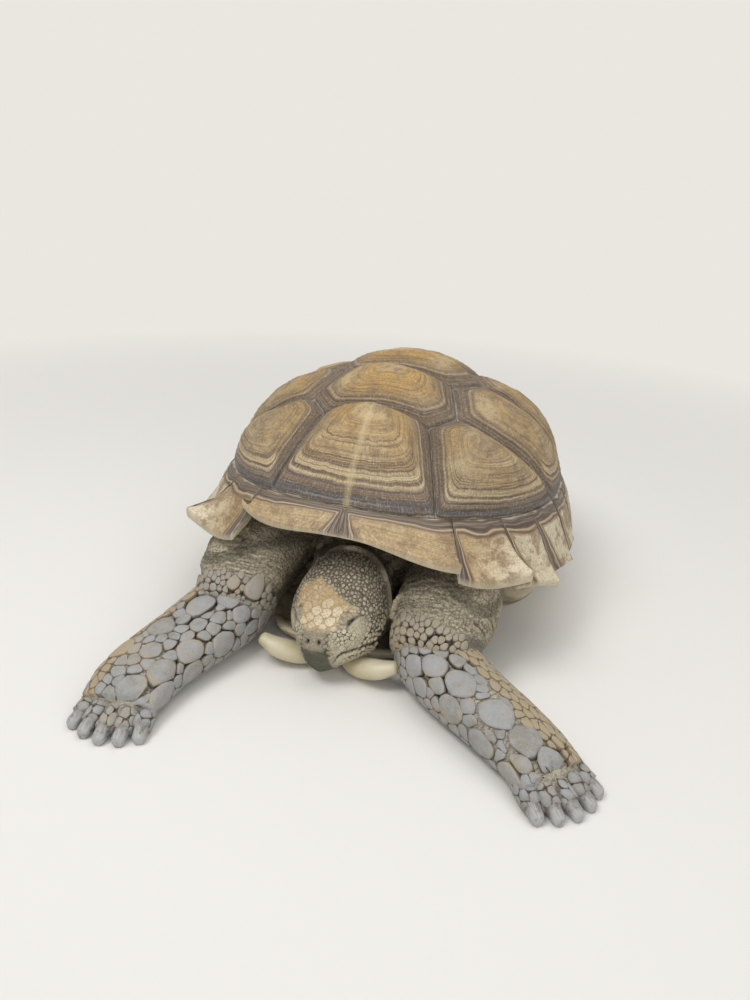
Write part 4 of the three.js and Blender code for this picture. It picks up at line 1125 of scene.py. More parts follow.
def head_refined(mesh):
    """Splits the faces of the head once, so that its lids, nostrils and mouth can be shaped."""
    work = bmesh.new()
    work.from_mesh(mesh)
    points = np.array([vertex.co for vertex in work.verts]) / MM
    forward, _, up = to_head(points)
    near = (forward > -60) & (up > -38) & (head_ratio(points) < 1.25)
    edges = [edge for edge in work.edges if all(near[v.index] for v in edge.verts)]
    bmesh.ops.subdivide_edges(work, edges=edges, cuts=1, use_grid_fill=True)
    bmesh.ops.triangulate(work, faces=[face for face in work.faces if len(face.verts) > 4])
    work.to_mesh(mesh)
    work.free()


def skin_piece():
    """The whole skin as one mesh: a voxel surface round all flesh bodies and the trunk, relaxed,
    refined on the head, then moved along its normals by the relief."""
    bodies = [(points, facing_out(points, faces), {}) for points, faces in flesh_bodies()]
    rough = add_mesh("flesh_bodies", *joined(bodies), outward=False)
    work = bmesh.new()
    work.from_mesh(rough.data)
    inner = bmesh.new()
    inner.from_mesh(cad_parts["trunk"].data)
    bmesh.ops.remove_doubles(inner, verts=inner.verts, dist=1e-5)
    spare = bpy.data.meshes.new("trunk_copy")
    inner.to_mesh(spare)
    inner.free()
    work.from_mesh(spare)
    work.to_mesh(rough.data)
    work.free()
    remesh = rough.modifiers.new("skin", "REMESH")
    remesh.mode = "VOXEL"
    remesh.voxel_size = SKIN_VOXEL * MM
    remesh.adaptivity = 0.0
    depsgraph = bpy.context.evaluated_depsgraph_get()
    shell = bpy.data.meshes.new_from_object(rough.evaluated_get(depsgraph))
    bpy.data.objects.remove(rough)
    bpy.data.meshes.remove(spare)
    set_points(shell, relaxed(*mesh_arrays(shell), 6))
    head_refined(shell)
    points = relaxed(*mesh_arrays(shell), 1)
    set_points(shell, points)
    shell.update()
    normals = np.empty(len(points) * 3, np.float32)
    shell.vertex_normals.foreach_get("vector", normals)
    relief, fields = skin_relief(points)
    points = points + normals.reshape(-1, 3) * relief[:, None]
    for way in (1, -1):
        share, ratio, _, away = path_place(points, [(way * x, *rest) for x, *rest in GULAR])
        inside = (ratio < HORN_ROOM) & (share > 0) & (share < 1)
        push = np.where(inside, HORN_ROOM / np.maximum(ratio, 0.2) - 1, 0)
        points = points + away * push[:, None]
    points[:, 2] = np.maximum(points[:, 2], 0.0)
    set_points(shell, points)
    shell.name = "skin"
    shell.polygons.foreach_set("use_smooth", np.ones(len(shell.polygons), bool))
    shell.update()
    return add_object("skin", shell, fields)


# ---------------------------------------------------------------- scales

# A scale's section from its rim inwards: share of its reach, share of its height. The first row
# is the base, which is sunk in the skin.
SCALE_PROFILE = ((1.0, 0), (0.98, 0.38), (0.84, 0.8), (0.5, 0.97))
SCALE_FOOT = 0.6  # how far the sunk base reaches past the outline
FILLING = 8.2  # scales wider than this spread out to fill the gaps between them
NEIGHBOURS = 14  # nearest seeds that can bound a scale
LEAST_RATES = (20.0, 4.0)  # least millimetres per share along, and per radian round, a surface
PATCH_RADIUS = 0.0015  # size of one scale on the OFBake map


def spread(candidates, sizes, surface, placed=()):
    """Seeds kept one after another where no kept seed is nearer than the mean of their sizes.
    placed are the (share, turn, size) of seeds that are kept first."""
    shares = np.concatenate([[p[0] for p in placed], candidates[:, 0]])
    turns = np.concatenate([[p[1] for p in placed], candidates[:, 1]])
    sizes = np.concatenate([[p[2] for p in placed], sizes])
    points = surface(shares, turns)
    kept = []
    for i in range(len(shares)):
        if i >= len(placed) and kept:
            apart = np.linalg.norm(points[kept] - points[i], axis=1)
            if (apart < 0.5 * (sizes[kept] + sizes[i])).any():
                continue
        kept.append(i)
    return shares[kept], turns[kept], sizes[kept]


def scale_field(surface, seeds, dome, patch, directions=12, groove=0.5, stretch=1.0, seed=0,
                ochre=0.0, root=0.9, lean=0.0):
    """Domed scales on a surface of share, turn and lift. Each scale is the cell of points that
    are nearer to its seed than to any other, by squared distance less squared size, drawn as a
    polar outline with its corners rounded and lifted to a dome. Its base is sunk in the skin by
    root. lean raises and draws out the edge that points along the limb over the next scale.
    patch places the OFBake map: left, bottom, width and height on the unwrap."""
    share, turn, size = seeds
    stretch, dome, ochre = (np.broadcast_to(value, share.shape) for value in (stretch, dome, ochre))
    step = 0.004
    rate_along = np.linalg.norm(surface(share + step, turn) - surface(share - step, turn), axis=-1)
    rate_along = np.maximum(rate_along / (2 * step), LEAST_RATES[0])
    rate_round = np.linalg.norm(surface(share, turn + step) - surface(share, turn - step), axis=-1)
    rate_round = np.maximum(rate_round / (2 * step), LEAST_RATES[1])
    ahead = (share[None] - share[:, None]) * (rate_along / stretch)[:, None]
    across = ((turn[None] - turn[:, None] + np.pi) % (2 * np.pi) - np.pi) * rate_round[:, None]
    apart = ahead**2 + across**2
    np.fill_diagonal(apart, np.inf)
    count = min(NEIGHBOURS, len(share) - 1)
    near = np.argpartition(apart, count - 1, axis=1)[:, :count]
    ahead, across, apart = (np.take_along_axis(a, near, axis=1) for a in (ahead, across, apart))
    half = 0.5 * size
    push = 0.5 * (apart + half[:, None] ** 2 - half[near] ** 2)
    angles = np.arange(directions) * 2 * np.pi / directions
    facing = ahead[:, None] * np.cos(angles)[:, None] + across[:, None] * np.sin(angles)[:, None]
    reach = np.where(facing > 0.05, push[:, None] / np.maximum(facing, 0.05), 1e6).min(axis=-1)
    widest = 0.72 * size + np.where(size > FILLING, 2.0, 0.0)
    reach = np.clip(reach, 0.25 * size[:, None], widest[:, None])
    soft = 0.8 * reach + 0.1 * (np.roll(reach, 1, axis=1) + np.roll(reach, -1, axis=1))
    groove = np.broadcast_to(groove, share.shape)[:, None]
    reach = np.maximum(np.minimum(soft, reach * 1.02) - groove, 0.18 * size[:, None])
    reach = reach * (1 + 0.3 * lean * np.cos(angles))
    profile = np.array(SCALE_PROFILE)
    across_share = profile[:, 0][None, :, None] * reach[:, None, :]
    across_share[:, 0] += SCALE_FOOT
    out_ahead = across_share * np.cos(angles) * stretch[:, None, None]
    out_across = across_share * np.sin(angles)
    top = dome * size
    slope = 1 + lean * profile[:, :1] ** 3 * np.cos(angles)
    lift = profile[:, 1:] * slope * top[:, None, None]
    lift[:, 0] = -root
    new_share = share[:, None, None] + out_ahead / rate_along[:, None, None]
    new_turn = turn[:, None, None] + out_across / rate_round[:, None, None]
    rings = surface(new_share, new_turn, lift)
    rings = rings + 0.05 * top[:, None, None, None] * noise(rings, 3.5, seed)[..., None]
    crowns = surface(share, turn, top * 1.03)
    roots = surface(share, turn, 0 * top - root)
    scales, ring_count = len(share), len(profile)
    each = ring_count * directions + 2
    points = np.concatenate([rings.reshape(scales, -1, 3), crowns[:, None], roots[:, None]], axis=1)
    ring = np.arange(directions)
    base = [grid_faces(ring_count, directions, True), fan_faces(ring, each - 1, True),
            fan_faces((ring_count - 1) * directions + ring, each - 2, False)]
    shifts = (np.arange(scales) * each)[:, None, None]
    faces = [(group[None] + shifts).reshape(-1, group.shape[1]) for group in base]
    out = np.concatenate([np.repeat(profile[:, 0], directions), [0.0, 0.0]])
    left, bottom, width, height = patch
    spot = np.stack([left + width * (turn % (2 * np.pi)) / (2 * np.pi), bottom + height * share], -1)
    circle = np.stack([np.cos(angles), np.sin(angles)], -1)
    local = np.concatenate([(profile[:, 0, None, None] * circle).reshape(-1, 2), np.zeros((2, 2))])
    bake = spot[:, None] + PATCH_RADIUS * local
    rng = np.random.default_rng(seed)
    tint = np.repeat(rng.random(scales), each)
    fields = {"out": np.tile(out, scales), "tint": tint, "ochre": np.repeat(ochre, each)}
    return points.reshape(-1, 3), faces, fields, bake.reshape(-1, 2)


def joined_scales(fields_of_scales):
    """One shape from several scale fields, with their OFBake places."""
    shape = joined([(points, faces, fields) for points, faces, fields, _ in fields_of_scales])
    return (*shape, np.vstack([one[3] for one in fields_of_scales]))


def add_scales(name, shape, material):
    """New scale piece with its OFBake map."""
    *body, bake = shape
    piece = add_mesh(name, *body)
    corners = np.empty(len(piece.data.loops), np.int32)
    piece.data.loops.foreach_get("vertex_index", corners)
    layer = piece.data.uv_layers.new(name="OFBake")
    layer.data.foreach_set("uv", bake[corners].astype(np.float32).ravel())
    return finish_piece(piece, material)


# ---------------------------------------------------------------- materials


def threads(add, field, rate, place, drift, detail, roughness=0.5):
    """Noise that changes fast with a field and slowly with the place, so it runs in lines."""
    moved = add(MOVED, add(COMBINE, add(TIMES, field, rate)), add(SCALED, place, (drift,) * 3))
    return add(NOISE, moved, 1.0, detail, roughness)


def grown_keratin_scute(add):
    """Tortoise scute: horn keratin laid down in yearly rings and worn by sand. It gives a dry
    satin face with fine ring lines, short scratches across them, dark rings near the seams,
    which are widest towards the rim and streaked with pale and dark threads, and a thin pale
    line of new growth in each seam."""
    place = add(PLACE)
    ring, turn, lower, core = (add(FIELD, attribute_name=name) for name in
                               ("ring", "turn", "lower", "core"))
    slow = add(NOISE, place, 28.0, 3.0)
    kinks = add(NOISE, add(COMBINE, add(TIMES, turn, 38.0), add(TIMES, ring, 3.0), 7.0), 1.0, 4.0)
    bent = add(TIMES_PLUS, add(MINUS, slow, 0.5), 0.05, ring)
    bent = add(TIMES_PLUS, add(MINUS, kinks, 0.5), 0.032, bent)
    lines, fine_lines = (threads(add, bent, rate, place, 16.0, 5.0, 0.6) for rate in (68.0, 165.0))
    streaks = add(NOISE, add(COMBINE, add(TIMES, turn, 560.0), add(TIMES, bent, 11.0), 3.0), 1.0, 3.0)
    patches = add(NOISE, place, 14.0, 5.0, 0.6)
    thin = add(TIMES, add(RAMP, fine_lines, (0.4, 0.85), (0.48, 0.0)),
               add(RAMP, patches, (0.36, 0.35), (0.56, 1.0)))
    high = add(TIMES, add(MINUS, add(SPLIT, place, output="Z"), 0.232), 11.0, use_clamp=True)
    # The golden tint grows with height towards the top of the dome: partly the keratin's tone, partly
    # a painted highlight on the crown.
    golden = add(PLUS, high, add(TIMES_PLUS, patches, 1.6, -0.8), use_clamp=True)
    golden = add(TIMES, golden, add(TIMES_PLUS, lines, 1.3, 0.12), use_clamp=True)
    browned = add(TIMES, add(RAMP, bent, (0.5, 0.0), (0.72, 0.85)), high, use_clamp=True)
    steps = add(TIMES, add(RAMP, lines, (0.38, 0.8), (0.47, 0.0)),
                add(RAMP, bent, (0.2, 0.25), (0.6, 1.0)))
    oldest = add(TIMES, add(RAMP, bent, (0.17, 0.8), (0.26, 0.0)), add(MINUS, 1.0, core))
    grain = add(RAMP, add(NOISE, place, 160.0, 4.0), (0.4, 1.0), (0.62, 0.25))
    middle = add(TIMES, add(TIMES, add(RAMP, bent, (0.15, 0.7), (0.27, 0.0)), core), grain)
    grime = add(RAMP, add(NOISE, place, 60.0, 7.0, 0.7), (0.48, 0.0), (0.62, 0.65))
    face = add(RAMP, lines, (0.33, "scute_line"), (0.45, "scute_face"), (0.57, "scute_face"),
               (0.66, "scute_pale"))
    for share, tint in ((golden, "scute_golden"), (browned, "scute_line"), (steps, "scute_brown"),
                        (thin, "scute_line"), (oldest, "scute_fresh"), (middle, "scute_core"),
                        (grime, "scute_side"),
                        (add(RAMP, patches, (0.34, 0.5), (0.46, 0.0)), "scute_pale")):
        face = add(OVER, share, face, tint)

    jitter = add(TIMES_PLUS, add(MINUS, lines, 0.5), 0.03, bent)
    low_bands = add(RAMP, jitter, (0.67, "scute_brown"), (0.685, "scute_face"), (0.74, "scute_pale"),
                    (0.755, "scute_brown"), (0.775, "scute_side"), (0.79, "scute_pale"),
                    (0.815, "scute_mauve"), (0.83, "scute_dark"), (0.845, "scute_mauve"),
                    (0.875, "scute_side"), (0.89, "scute_dark"), (0.915, "scute_night"),
                    (0.965, "scute_night"), (0.985, "scute_dark"), (0.993, "scute_new"))
    side_bands = add(RAMP, jitter, (0.68, "scute_face"), (0.72, "scute_side"), (0.75, "scute_brown"),
                     (0.78, "scute_face"), (0.81, "scute_brown"), (0.85, "scute_dark"),
                     (0.875, "scute_side"), (0.9, "scute_dark"), (0.94, "scute_side"),
                     (0.965, "scute_night"), (0.985, "scute_dark"), (0.992, "scute_new"))
    to_rim = add(RAMP, lower, (0.35, 0.0), (0.65, 1.0))
    bands = add(OVER, to_rim, side_bands, low_bands)
    for share, tint in ((add(RAMP, fine_lines, (0.54, 0.0), (0.66, 0.6)), "scute_new"),
                        (add(RAMP, fine_lines, (0.38, 0.7), (0.47, 0.0)), "scute_dark")):
        bands = add(OVER, share, bands, tint)
    band_share = add(BETWEEN, to_rim, add(RAMP, jitter, (0.66, 0.0), (0.76, 0.9)),
                     add(RAMP, jitter, (0.655, 0.0), (0.67, 1.0)))
    grit = add(NOISE, place, 420.0, 6.0, 0.7)
    across = add(TIMES_PLUS, slow, 0.012, add(ABSOLUTE, add(SPLIT, place, output="X")))
    keel = add(TIMES, add(RAMP, across, (0.005, 1.0), (0.0105, 0.0)), lower)
    keel = add(TIMES, keel, add(RAMP, add(SPLIT, place, output="Y"), (0.0, 0.7), (0.01, 0.0)))
    colour = add(OVER, band_share, face, bands)
    for share, tint in ((add(RAMP, grit, (0.54, 0.0), (0.68, 0.6)), "scute_new"),
                        (add(RAMP, grit, (0.34, 0.55), (0.46, 0.0)), "scute_brown"),
                        (add(RAMP, streaks, (0.5, 0.0), (0.64, 0.7)), "scute_line"),
                        (add(RAMP, streaks, (0.3, 0.5), (0.42, 0.0)), "scute_pale"),
                        (keel, "scute_pale")):
        colour = add(OVER, share, colour, tint)
    height = add(TIMES_PLUS, lines, 0.9, add(TIMES, grit, 0.7))
    height = add(TIMES_PLUS, fine_lines, 0.6, height)
    return add(SHADER, colour, add(RAMP, slow, (0.3, 0.5), (0.7, 0.72)), 1.54,
               add(BUMP, height, 0.0018, 1.0))


def rubbed_rim_keratin(add):
    """Marginal scute: thicker keratin that is rubbed clean at the lip. Honey on top, with dark
    rings along the costals and the front seam, ivory lips, and a dull grey-ivory underside."""
    place = add(PLACE)
    run, growth, under = (add(FIELD, attribute_name=name) for name in ("run", "growth", "under"))
    slow = add(NOISE, place, 32.0, 3.0)
    lines = threads(add, growth, 11.0, place, 19.0, 5.0, 0.65)
    fine = threads(add, growth, 26.0, place, 19.0, 4.0)
    layers = threads(add, run, 60.0, place, 24.0, 5.0)
    # The marginals of the flanks turn to rim_bone: their greyish tone, painted paler as light that
    # lifts the shade on the sides.
    flank = add(MINUS, add(ABSOLUTE, add(SPLIT, place, output="X")), 0.14)
    flank = add(TIMES, add(TIMES, flank, 16.0, use_clamp=True), 0.8)
    stains = add(RAMP, add(NOISE, place, 36.0, 8.0, 0.7), (0.47, 0.0), (0.58, 0.85))
    speckle = add(NOISE, place, 380.0, 6.0, 0.7)
    face = add(RAMP, lines, (0.3, "rim_line"), (0.42, "rim_honey"), (0.64, "rim_pale"))
    for share, tint in ((flank, "rim_bone"), (stains, "rim_line"),
                        (add(RAMP, speckle, (0.36, 0.6), (0.48, 0.0)), "scute_side"),
                        (add(RAMP, speckle, (0.54, 0.0), (0.66, 0.5)), "rim_ivory")):
        face = add(OVER, share, face, tint)
    jitter = add(TIMES_PLUS, add(MINUS, slow, 0.5), 0.3, growth)
    bands = add(RAMP, jitter, (0.0, "scute_new"), (0.05, "scute_side"), (0.15, "scute_dark"),
                (0.3, "scute_side"), (0.42, "scute_dark"), (0.55, "scute_brown"),
                (0.62, "rim_pale"), (0.74, "scute_brown"), (0.86, "rim_line"),
                (0.98, "rim_honey"))
    for share, tint in ((add(RAMP, fine, (0.55, 0.0), (0.68, 0.6)), "scute_new"),
                        (add(RAMP, fine, (0.36, 0.7), (0.46, 0.0)), "scute_dark")):
        bands = add(OVER, share, bands, tint)
    top = add(OVER, add(RAMP, jitter, (0.8, 1.0), (1.0, 0.0)), face, bands)
    edge_tone = add(RAMP, add(TIMES_PLUS, slow, 0.6, add(TIMES, layers, 0.6)), (0.44, "rim_line"),
                    (0.51, "rim_honey"), (0.57, "rim_bone"), (0.66, "rim_ivory"))
    chips = add(TIMES_PLUS, layers, 0.1, add(TIMES_PLUS, slow, 0.12, run))
    top = add(OVER, add(RAMP, chips, (1.0, 0.0), (1.1, 0.85)), top, edge_tone)
    below = add(RAMP, lines, (0.4, "rim_under"), (0.62, "rim_ivory"))
    below = add(OVER, add(RAMP, run, (0.55, 0.0), (0.95, 0.7)), below, "rim_ivory")
    height = add(TIMES_PLUS, lines, 0.8, add(TIMES, add(NOISE, place, 700.0, 4.0), 0.5))
    return add(SHADER, add(OVER, under, top, below), 0.52, 1.54, add(BUMP, height, 0.0009, 0.7))


def polished_belly_keratin(add):
    """Plastron scute: flat keratin polished by the ground, ivory with soft brown ring lines and
    darker seams."""
    place = add(PLACE)
    line = add(FIELD, attribute_name="line")
    face = add(RAMP, add(NOISE, place, 22.0, 5.0), (0.35, "rim_under"), (0.6, "rim_ivory"))
    rings = add(NOISE, add(COMBINE, add(TIMES, line, 0.35)), 1.0, 3.0)
    face = add(OVER, add(RAMP, rings, (0.5, 0.0), (0.62, 0.4)), face, "scute_side")
    seam = add(RAMP, add(TIMES, line, 0.1), (0.1, 0.8), (0.45, 0.0))
    colour = add(OVER, seam, face, "scute_brown")
    return add(SHADER, colour, 0.45, 1.54, add(BUMP, add(NOISE, place, 500.0, 4.0), 0.0006, 0.6))


def worn_horn_keratin(add):
    """Gular horn: solid keratin worn smooth and bright, cream with a faint olive cloud and very
    fine lines along it."""
    place = add(PLACE)
    face = add(RAMP, add(NOISE, place, 26.0, 3.0), (0.36, "horn_olive"), (0.56, "horn_cream"))
    pits = add(RAMP, add(CELLS, place, 75.0), (0.03, 0.7), (0.07, 0.0))
    lines = add(NOISE, add(SCALED, place, (240.0, 700.0, 700.0)), 1.0, 3.0)
    return add(SHADER, add(OVER, pits, face, "scute_side"), 0.4, 1.54,
               add(BUMP, lines, 0.0005, 0.5))


def dry_granular_skin(add):
    """Tortoise skin: dry, loose and granular. Its beads of about 3 to 5 mm have painted shade
    between them, and painted shade darkens the creases and the valleys of the wrinkles, whose tops
    are paler."""
    place = add(PLACE)
    fields = {name: add(FIELD, attribute_name=name) for name in SKIN_FIELDS}
    beads, coarse = (add(CELLS, place, rate) for rate in (330.0, 150.0))
    cloud = add(NOISE, place, 24.0, 6.0, 0.6)
    fine = add(NOISE, place, 700.0, 5.0, 0.65)
    creases = threads(add, fields["fold_at"], 0.3, place, 38.0, 4.0, 0.6)
    depth = add(TIMES_PLUS, fields["wrinkle"], 0.35, 0.5)
    # Painted shade: the gaps between the beads are darker.
    gaps = add(RAMP, add(TIMES_PLUS, fine, 0.3, beads), (0.52, 0.0), (0.85, 0.6))
    # Painted shade: the tone follows the creases' bump, darker along its low lines and paler on its
    # high ones.
    tone = add(RAMP, add(TIMES_PLUS, cloud, 0.3, add(TIMES, creases, 0.7)), (0.37, "skin_dark"),
               (0.46, "skin"), (0.58, "skin_pale"))
    for share, tint in ((gaps, "skin_dark"),
                        # Painted shade in the wrinkles' valleys; their tops are paler.
                        (add(RAMP, depth, (0.12, 0.7), (0.45, 0.0)), "skin_dark"),
                        (add(RAMP, depth, (0.6, 0.0), (0.95, 0.55)), "skin_pale")):
        tone = add(OVER, share, tone, tint)
    mottle = add(TIMES_PLUS, cloud, 0.7, 0.65)
    for field, tint, share in (("dust", "dust", 0.4), ("crown", "crown", 0.75),
                               # The cheeks' colour is their pale tone, lifted further as painted
                               # light against the shade of the shell's front.
                               ("nape", "skin_dark", 0.8), ("cheek", "cheek", 0.7),
                               # The pale ridges of the hood and below the mouth take the palest head
                               # colour: their own pale tone, brightened as painted light against the
                               # shade they lie in.
                               ("snout", "nape", 0.7), ("rim", "crown_pale", 0.9),
                               ("lids", "skin", 0.5), ("beak", "beak", 0.92),
                               # Painted shade: the shade lines, the slit between the lids and the
                               # nostrils take a near-black colour for the shade inside them.
                               ("dark_line", "crevice", 0.85),
                               ("slit", "crevice", 0.95),
                               ("nostril", "crevice", 0.95)):
        mottled = add(TIMES, add(TIMES, fields[field], mottle, use_clamp=True), share)
        tone = add(OVER, mottled, tone, tint)
    holes = add(TIMES_PLUS, fields["beak"], 0.75, add(PLUS, fields["slit"], fields["nostril"]))
    open_skin = add(MINUS, 1.0, holes, use_clamp=True)
    for specks, tint in ((add(RAMP, fine, (0.52, 0.0), (0.66, 0.5)), "skin_pale"),
                         (add(RAMP, fine, (0.34, 0.45), (0.47, 0.0)), "skin_dark")):
        tone = add(OVER, add(TIMES, specks, open_skin), tone, tint)
    height = add(TIMES_PLUS, beads, -0.9, add(TIMES, coarse, -0.6))
    height = add(TIMES_PLUS, fine, 0.4, height)
    on_body = add(MINUS, 1.0, add(PLUS, fields["crown"], fields["cheek"]), use_clamp=True)
    height = add(TIMES_PLUS, add(TIMES, creases, on_body), 3.6, height)
    height = add(TIMES, height, add(MINUS, 1.1, add(TIMES, fields["beak"], 0.8)))
    return add(SHADER, tone, 0.82, 1.45, add(BUMP, height, 0.0018, 0.9))


def scuffed_limb_keratin(add):
    """Armour scale of the legs: thick keratin, scuffed dull and dusted blue-grey in the middle,
    with ochre margins and fine rings."""
    place = add(PLACE)
    out, tint, ochre = (add(FIELD, attribute_name=name) for name in ("out", "tint", "ochre"))
    cloud = add(NOISE, place, 90.0, 6.0, 0.62)
    fine = add(NOISE, place, 700.0, 5.0, 0.65)
    dirt = add(NOISE, place, 30.0, 6.0, 0.65)
    grey = add(TIMES_PLUS, cloud, 0.5, add(TIMES, dirt, 0.5))
    edge = add(TIMES, add(TIMES_PLUS, dirt, 1.8, add(TIMES, out, 0.26)), 0.5)
    edge = add(TIMES, add(RAMP, edge, (0.53, 0.0), (0.7, 0.9)),
               add(TIMES_PLUS, ochre, 0.35, 0.6), use_clamp=True)
    tone = add(RAMP, add(TIMES_PLUS, tint, 0.12, grey), (0.44, "scale_brown"), (0.54, "scale_grey"),
               (0.66, "scale_blue"))
    for share, cover in ((edge, "scale_ochre"), (add(TIMES, ochre, 0.8), "scale_ochre"),
                         (add(RAMP, fine, (0.36, 0.65), (0.5, 0.0)), "skin"),
                         (add(RAMP, fine, (0.52, 0.0), (0.66, 0.5)), "claw_pale"),
                         # Painted shade at each scale's foot, in the groove round it.
                         (add(RAMP, out, (0.94, 0.0), (1.0, 0.8)), "skin_dark")):
        tone = add(OVER, share, tone, cover)
    rings = add(SINE, add(TIMES_PLUS, out, 34.0, add(TIMES, cloud, 9.0)))
    height = add(TIMES_PLUS, rings, 0.1, add(TIMES_PLUS, cloud, 2.2, fine))
    return add(SHADER, tone, 0.78, 1.5, add(BUMP, height, 0.0009, 0.8))


def waxy_head_keratin(add):
    """Head scale: thin keratin, smooth and slightly waxy, tan on the crown and grey-brown behind
    and on the cheeks, with painted shade in the grooves between."""
    place = add(PLACE)
    out, tint, crown, nape, snout = (add(FIELD, attribute_name=name) for name in
                                     ("out", "tint", "crown", "nape", "snout"))
    mottle = add(TIMES_PLUS, tint, 0.5, add(TIMES, add(NOISE, place, 60.0, 4.0), 0.5))
    dark = add(PLUS, add(TIMES, nape, 0.35), add(TIMES, snout, 0.75), use_clamp=True)
    # Painted shade: each scale's rim darkens towards its foot, in the groove between scales, brown on
    # the crown.
    rim = add(RAMP, add(TIMES_PLUS, nape, 0.1, out), (0.9, 0.0), (1.03, 0.85))
    # The cheek colour here carries the same painted light against the shell's shade.
    tone = add(RAMP, mottle, (0.3, "skin"), (0.45, "cheek"), (0.65, "skin_pale"))
    for share, cover in (
            (dark, "nape"),
            (crown, add(RAMP, mottle, (0.3, "crown"), (0.7, "crown_pale"))),
            (add(RAMP, add(NOISE, place, 420.0, 4.0), (0.34, 0.6), (0.5, 0.0)), "nape"),
            (add(TIMES, rim, add(TIMES_PLUS, crown, -0.35, 1.0)),
             add(OVER, crown, "skin_dark", "rim_line"))):
        tone = add(OVER, share, tone, cover)
    return add(SHADER, tone, 0.62, 1.5, add(BUMP, add(NOISE, place, 1100.0, 3.0), 0.0006, 0.7))


def dug_claw_horn(add):
    """Claw: horn worn blunt by digging, grey with paler streaks along it and a chalky tip."""
    place = add(PLACE)
    reach, turn = (add(FIELD, attribute_name=name) for name in ("reach", "turn"))
    streaks = add(NOISE, add(COMBINE, add(TIMES, turn, 3.0), reach), 3.0, 4.0)
    dirt = add(TIMES_PLUS, reach, -0.25, add(NOISE, place, 120.0, 6.0, 0.65))
    tone = add(RAMP, streaks, (0.35, "claw_dark"), (0.55, "claw"), (0.7, "claw_pale"))
    tone = add(OVER, add(RAMP, reach, (0.7, 0.0), (0.98, 0.6)), tone, "claw_pale")
    tone = add(OVER, add(RAMP, dirt, (0.3, 0.0), (0.46, 0.75)), tone, "skin_dark")
    return add(SHADER, tone, 0.55, 1.54, add(BUMP, add(NOISE, place, 800.0, 4.0), 0.0006, 0.7))


def wet_cornea(add):
    """Eye: a wet cornea over a dark brown iris, nearly black in the lid's shade."""
    cloud = add(NOISE, add(PLACE), 300.0, 3.0)
    tone = add(RAMP, cloud, (0.4, "eye_dark"), (0.7, "eye_brown"))
    return add(COATED, tone, 0.08, 1.38, 0.6)


def matt_backdrop_paper(add):
    """Backdrop paper: matt and pale, with no pattern. Away from the animal the camera and the
    reflections see one even tone, so no edge or shade of the upright part shows."""
    rays = add(LARGER, add(RAYS, output="Is Camera Ray"), add(RAYS, output="Is Glossy Ray"))
    away = add(RAMP, add(TIMES, add(LENGTH, add(PLACE)), 0.5), (0.3, 0.0), (0.9, 1.0))
    return add(MIX_SHADERS, add(TIMES, rays, away), add(SHADER, "paper", 0.95),
               add(GLOW, "paper_far", 1.0))


def studio_air(add):
    """World light: soft and even, and the camera sees it as the far paper."""
    return add(MIX_SHADERS, add(RAYS, output="Is Camera Ray"), add(AIR, "eef0f2", 0.5),
               add(AIR, "paper_far", 1.0))


MADE = {}


def made(build):
    """Builds a material once, named like its function, and gives the same one afterwards."""
    if build not in MADE:
        MADE[build] = bpy.data.materials.new(build.__name__)
        fill_tree(MADE[build], "ShaderNodeOutputMaterial", build)
    return MADE[build]


def add_piece(name, shape, build, nodes=()):
    """New finished piece from a shape: its points, its faces and often its fields."""
    return finish_piece(add_mesh(name, *shape), made(build), nodes)


# ---------------------------------------------------------------- scale layouts

# Large scales of the forearms, placed one by one, from the elbow to the wrist: share of the way,
# degrees round the limb, width.
LEFT_LARGE = ((0.24, 25, 22), (0.31, 55, 25), (0.44, 66, 30), (0.63, 70, 31), (0.8, 73, 31),
              (0.95, 88, 27), (0.475, 15, 26), (0.66, 5, 28), (0.88, -2, 28), (0.38, 33, 15),
              (0.32, 5, 17), (0.53, 42, 14), (0.68, 27, 14), (0.88, 48, 20), (0.35, 88, 12))
RIGHT_LARGE = ((0.24, 108, 26), (0.36, 88, 29), (0.42, 170, 27), (0.58, 143, 27), (0.77, 133, 30),
               (0.92, 103, 27), (0.56, 75, 27), (0.72, 48, 27), (0.69, 94, 20), (0.37, 122, 16),
               (0.27, 143, 20), (0.46, 109, 14), (0.43, 131, 14), (0.82, 20, 18), (0.11, 120, 21),
               (0.03, 128, 14), (0.62, 183, 26), (0.85, 160, 27))

# The elbow's scales lie on the path past the upper arm's end: the large ones, then how ochre.
LEFT_ELBOW = {"large": (), "tan": 0.6}
# The right elbow's scales are less ochre, so greyer than the left's: painted shade on that side.
RIGHT_ELBOW = {"large": ((0.26, 130, 23), (0.27, 98, 15)), "tan": 0.35}
ELBOW_SHARES = (0.16, 0.95)

# Narrowest and widest of the scales spread at random, in millimetres. The forearm's narrowest is
# a setting.
FOREARM_WIDEST = 13.5
ELBOW_WIDTHS = (5.5, 8.0)
SHIN_WIDTHS = (10.0, 17.0)
THIGH_WIDTHS = (9.0, 16.0)
TOE_WIDTHS = (7.5, 11.0)

# Large scales of the crown: forward, left, width.
CROWN_LARGE = ((39.6, 14.5, 11), (37.3, -11.3, 10), (40, 0.5, 9), (46, -6.4, 7), (46.3, 8, 7.5),
               (31, 6, 11), (29, -8, 11.5), (27, 20, 10), (24, -21, 11), (33, 25, 8), (19, 5, 12))


def scattered(count, seed, shares, degrees):
    """Random share and turn pairs within limits."""
    rng = np.random.default_rng(seed)
    return np.stack([rng.uniform(*shares, count), np.radians(rng.uniform(*degrees, count))], -1)


def between(turns, angles):
    """Where turns in radians lie between two angles in degrees."""
    middle, half = sum(angles) / 2, math.radians(angles[1] - angles[0]) / 2
    return np.cos(turns - math.radians(middle)) > math.cos(half)


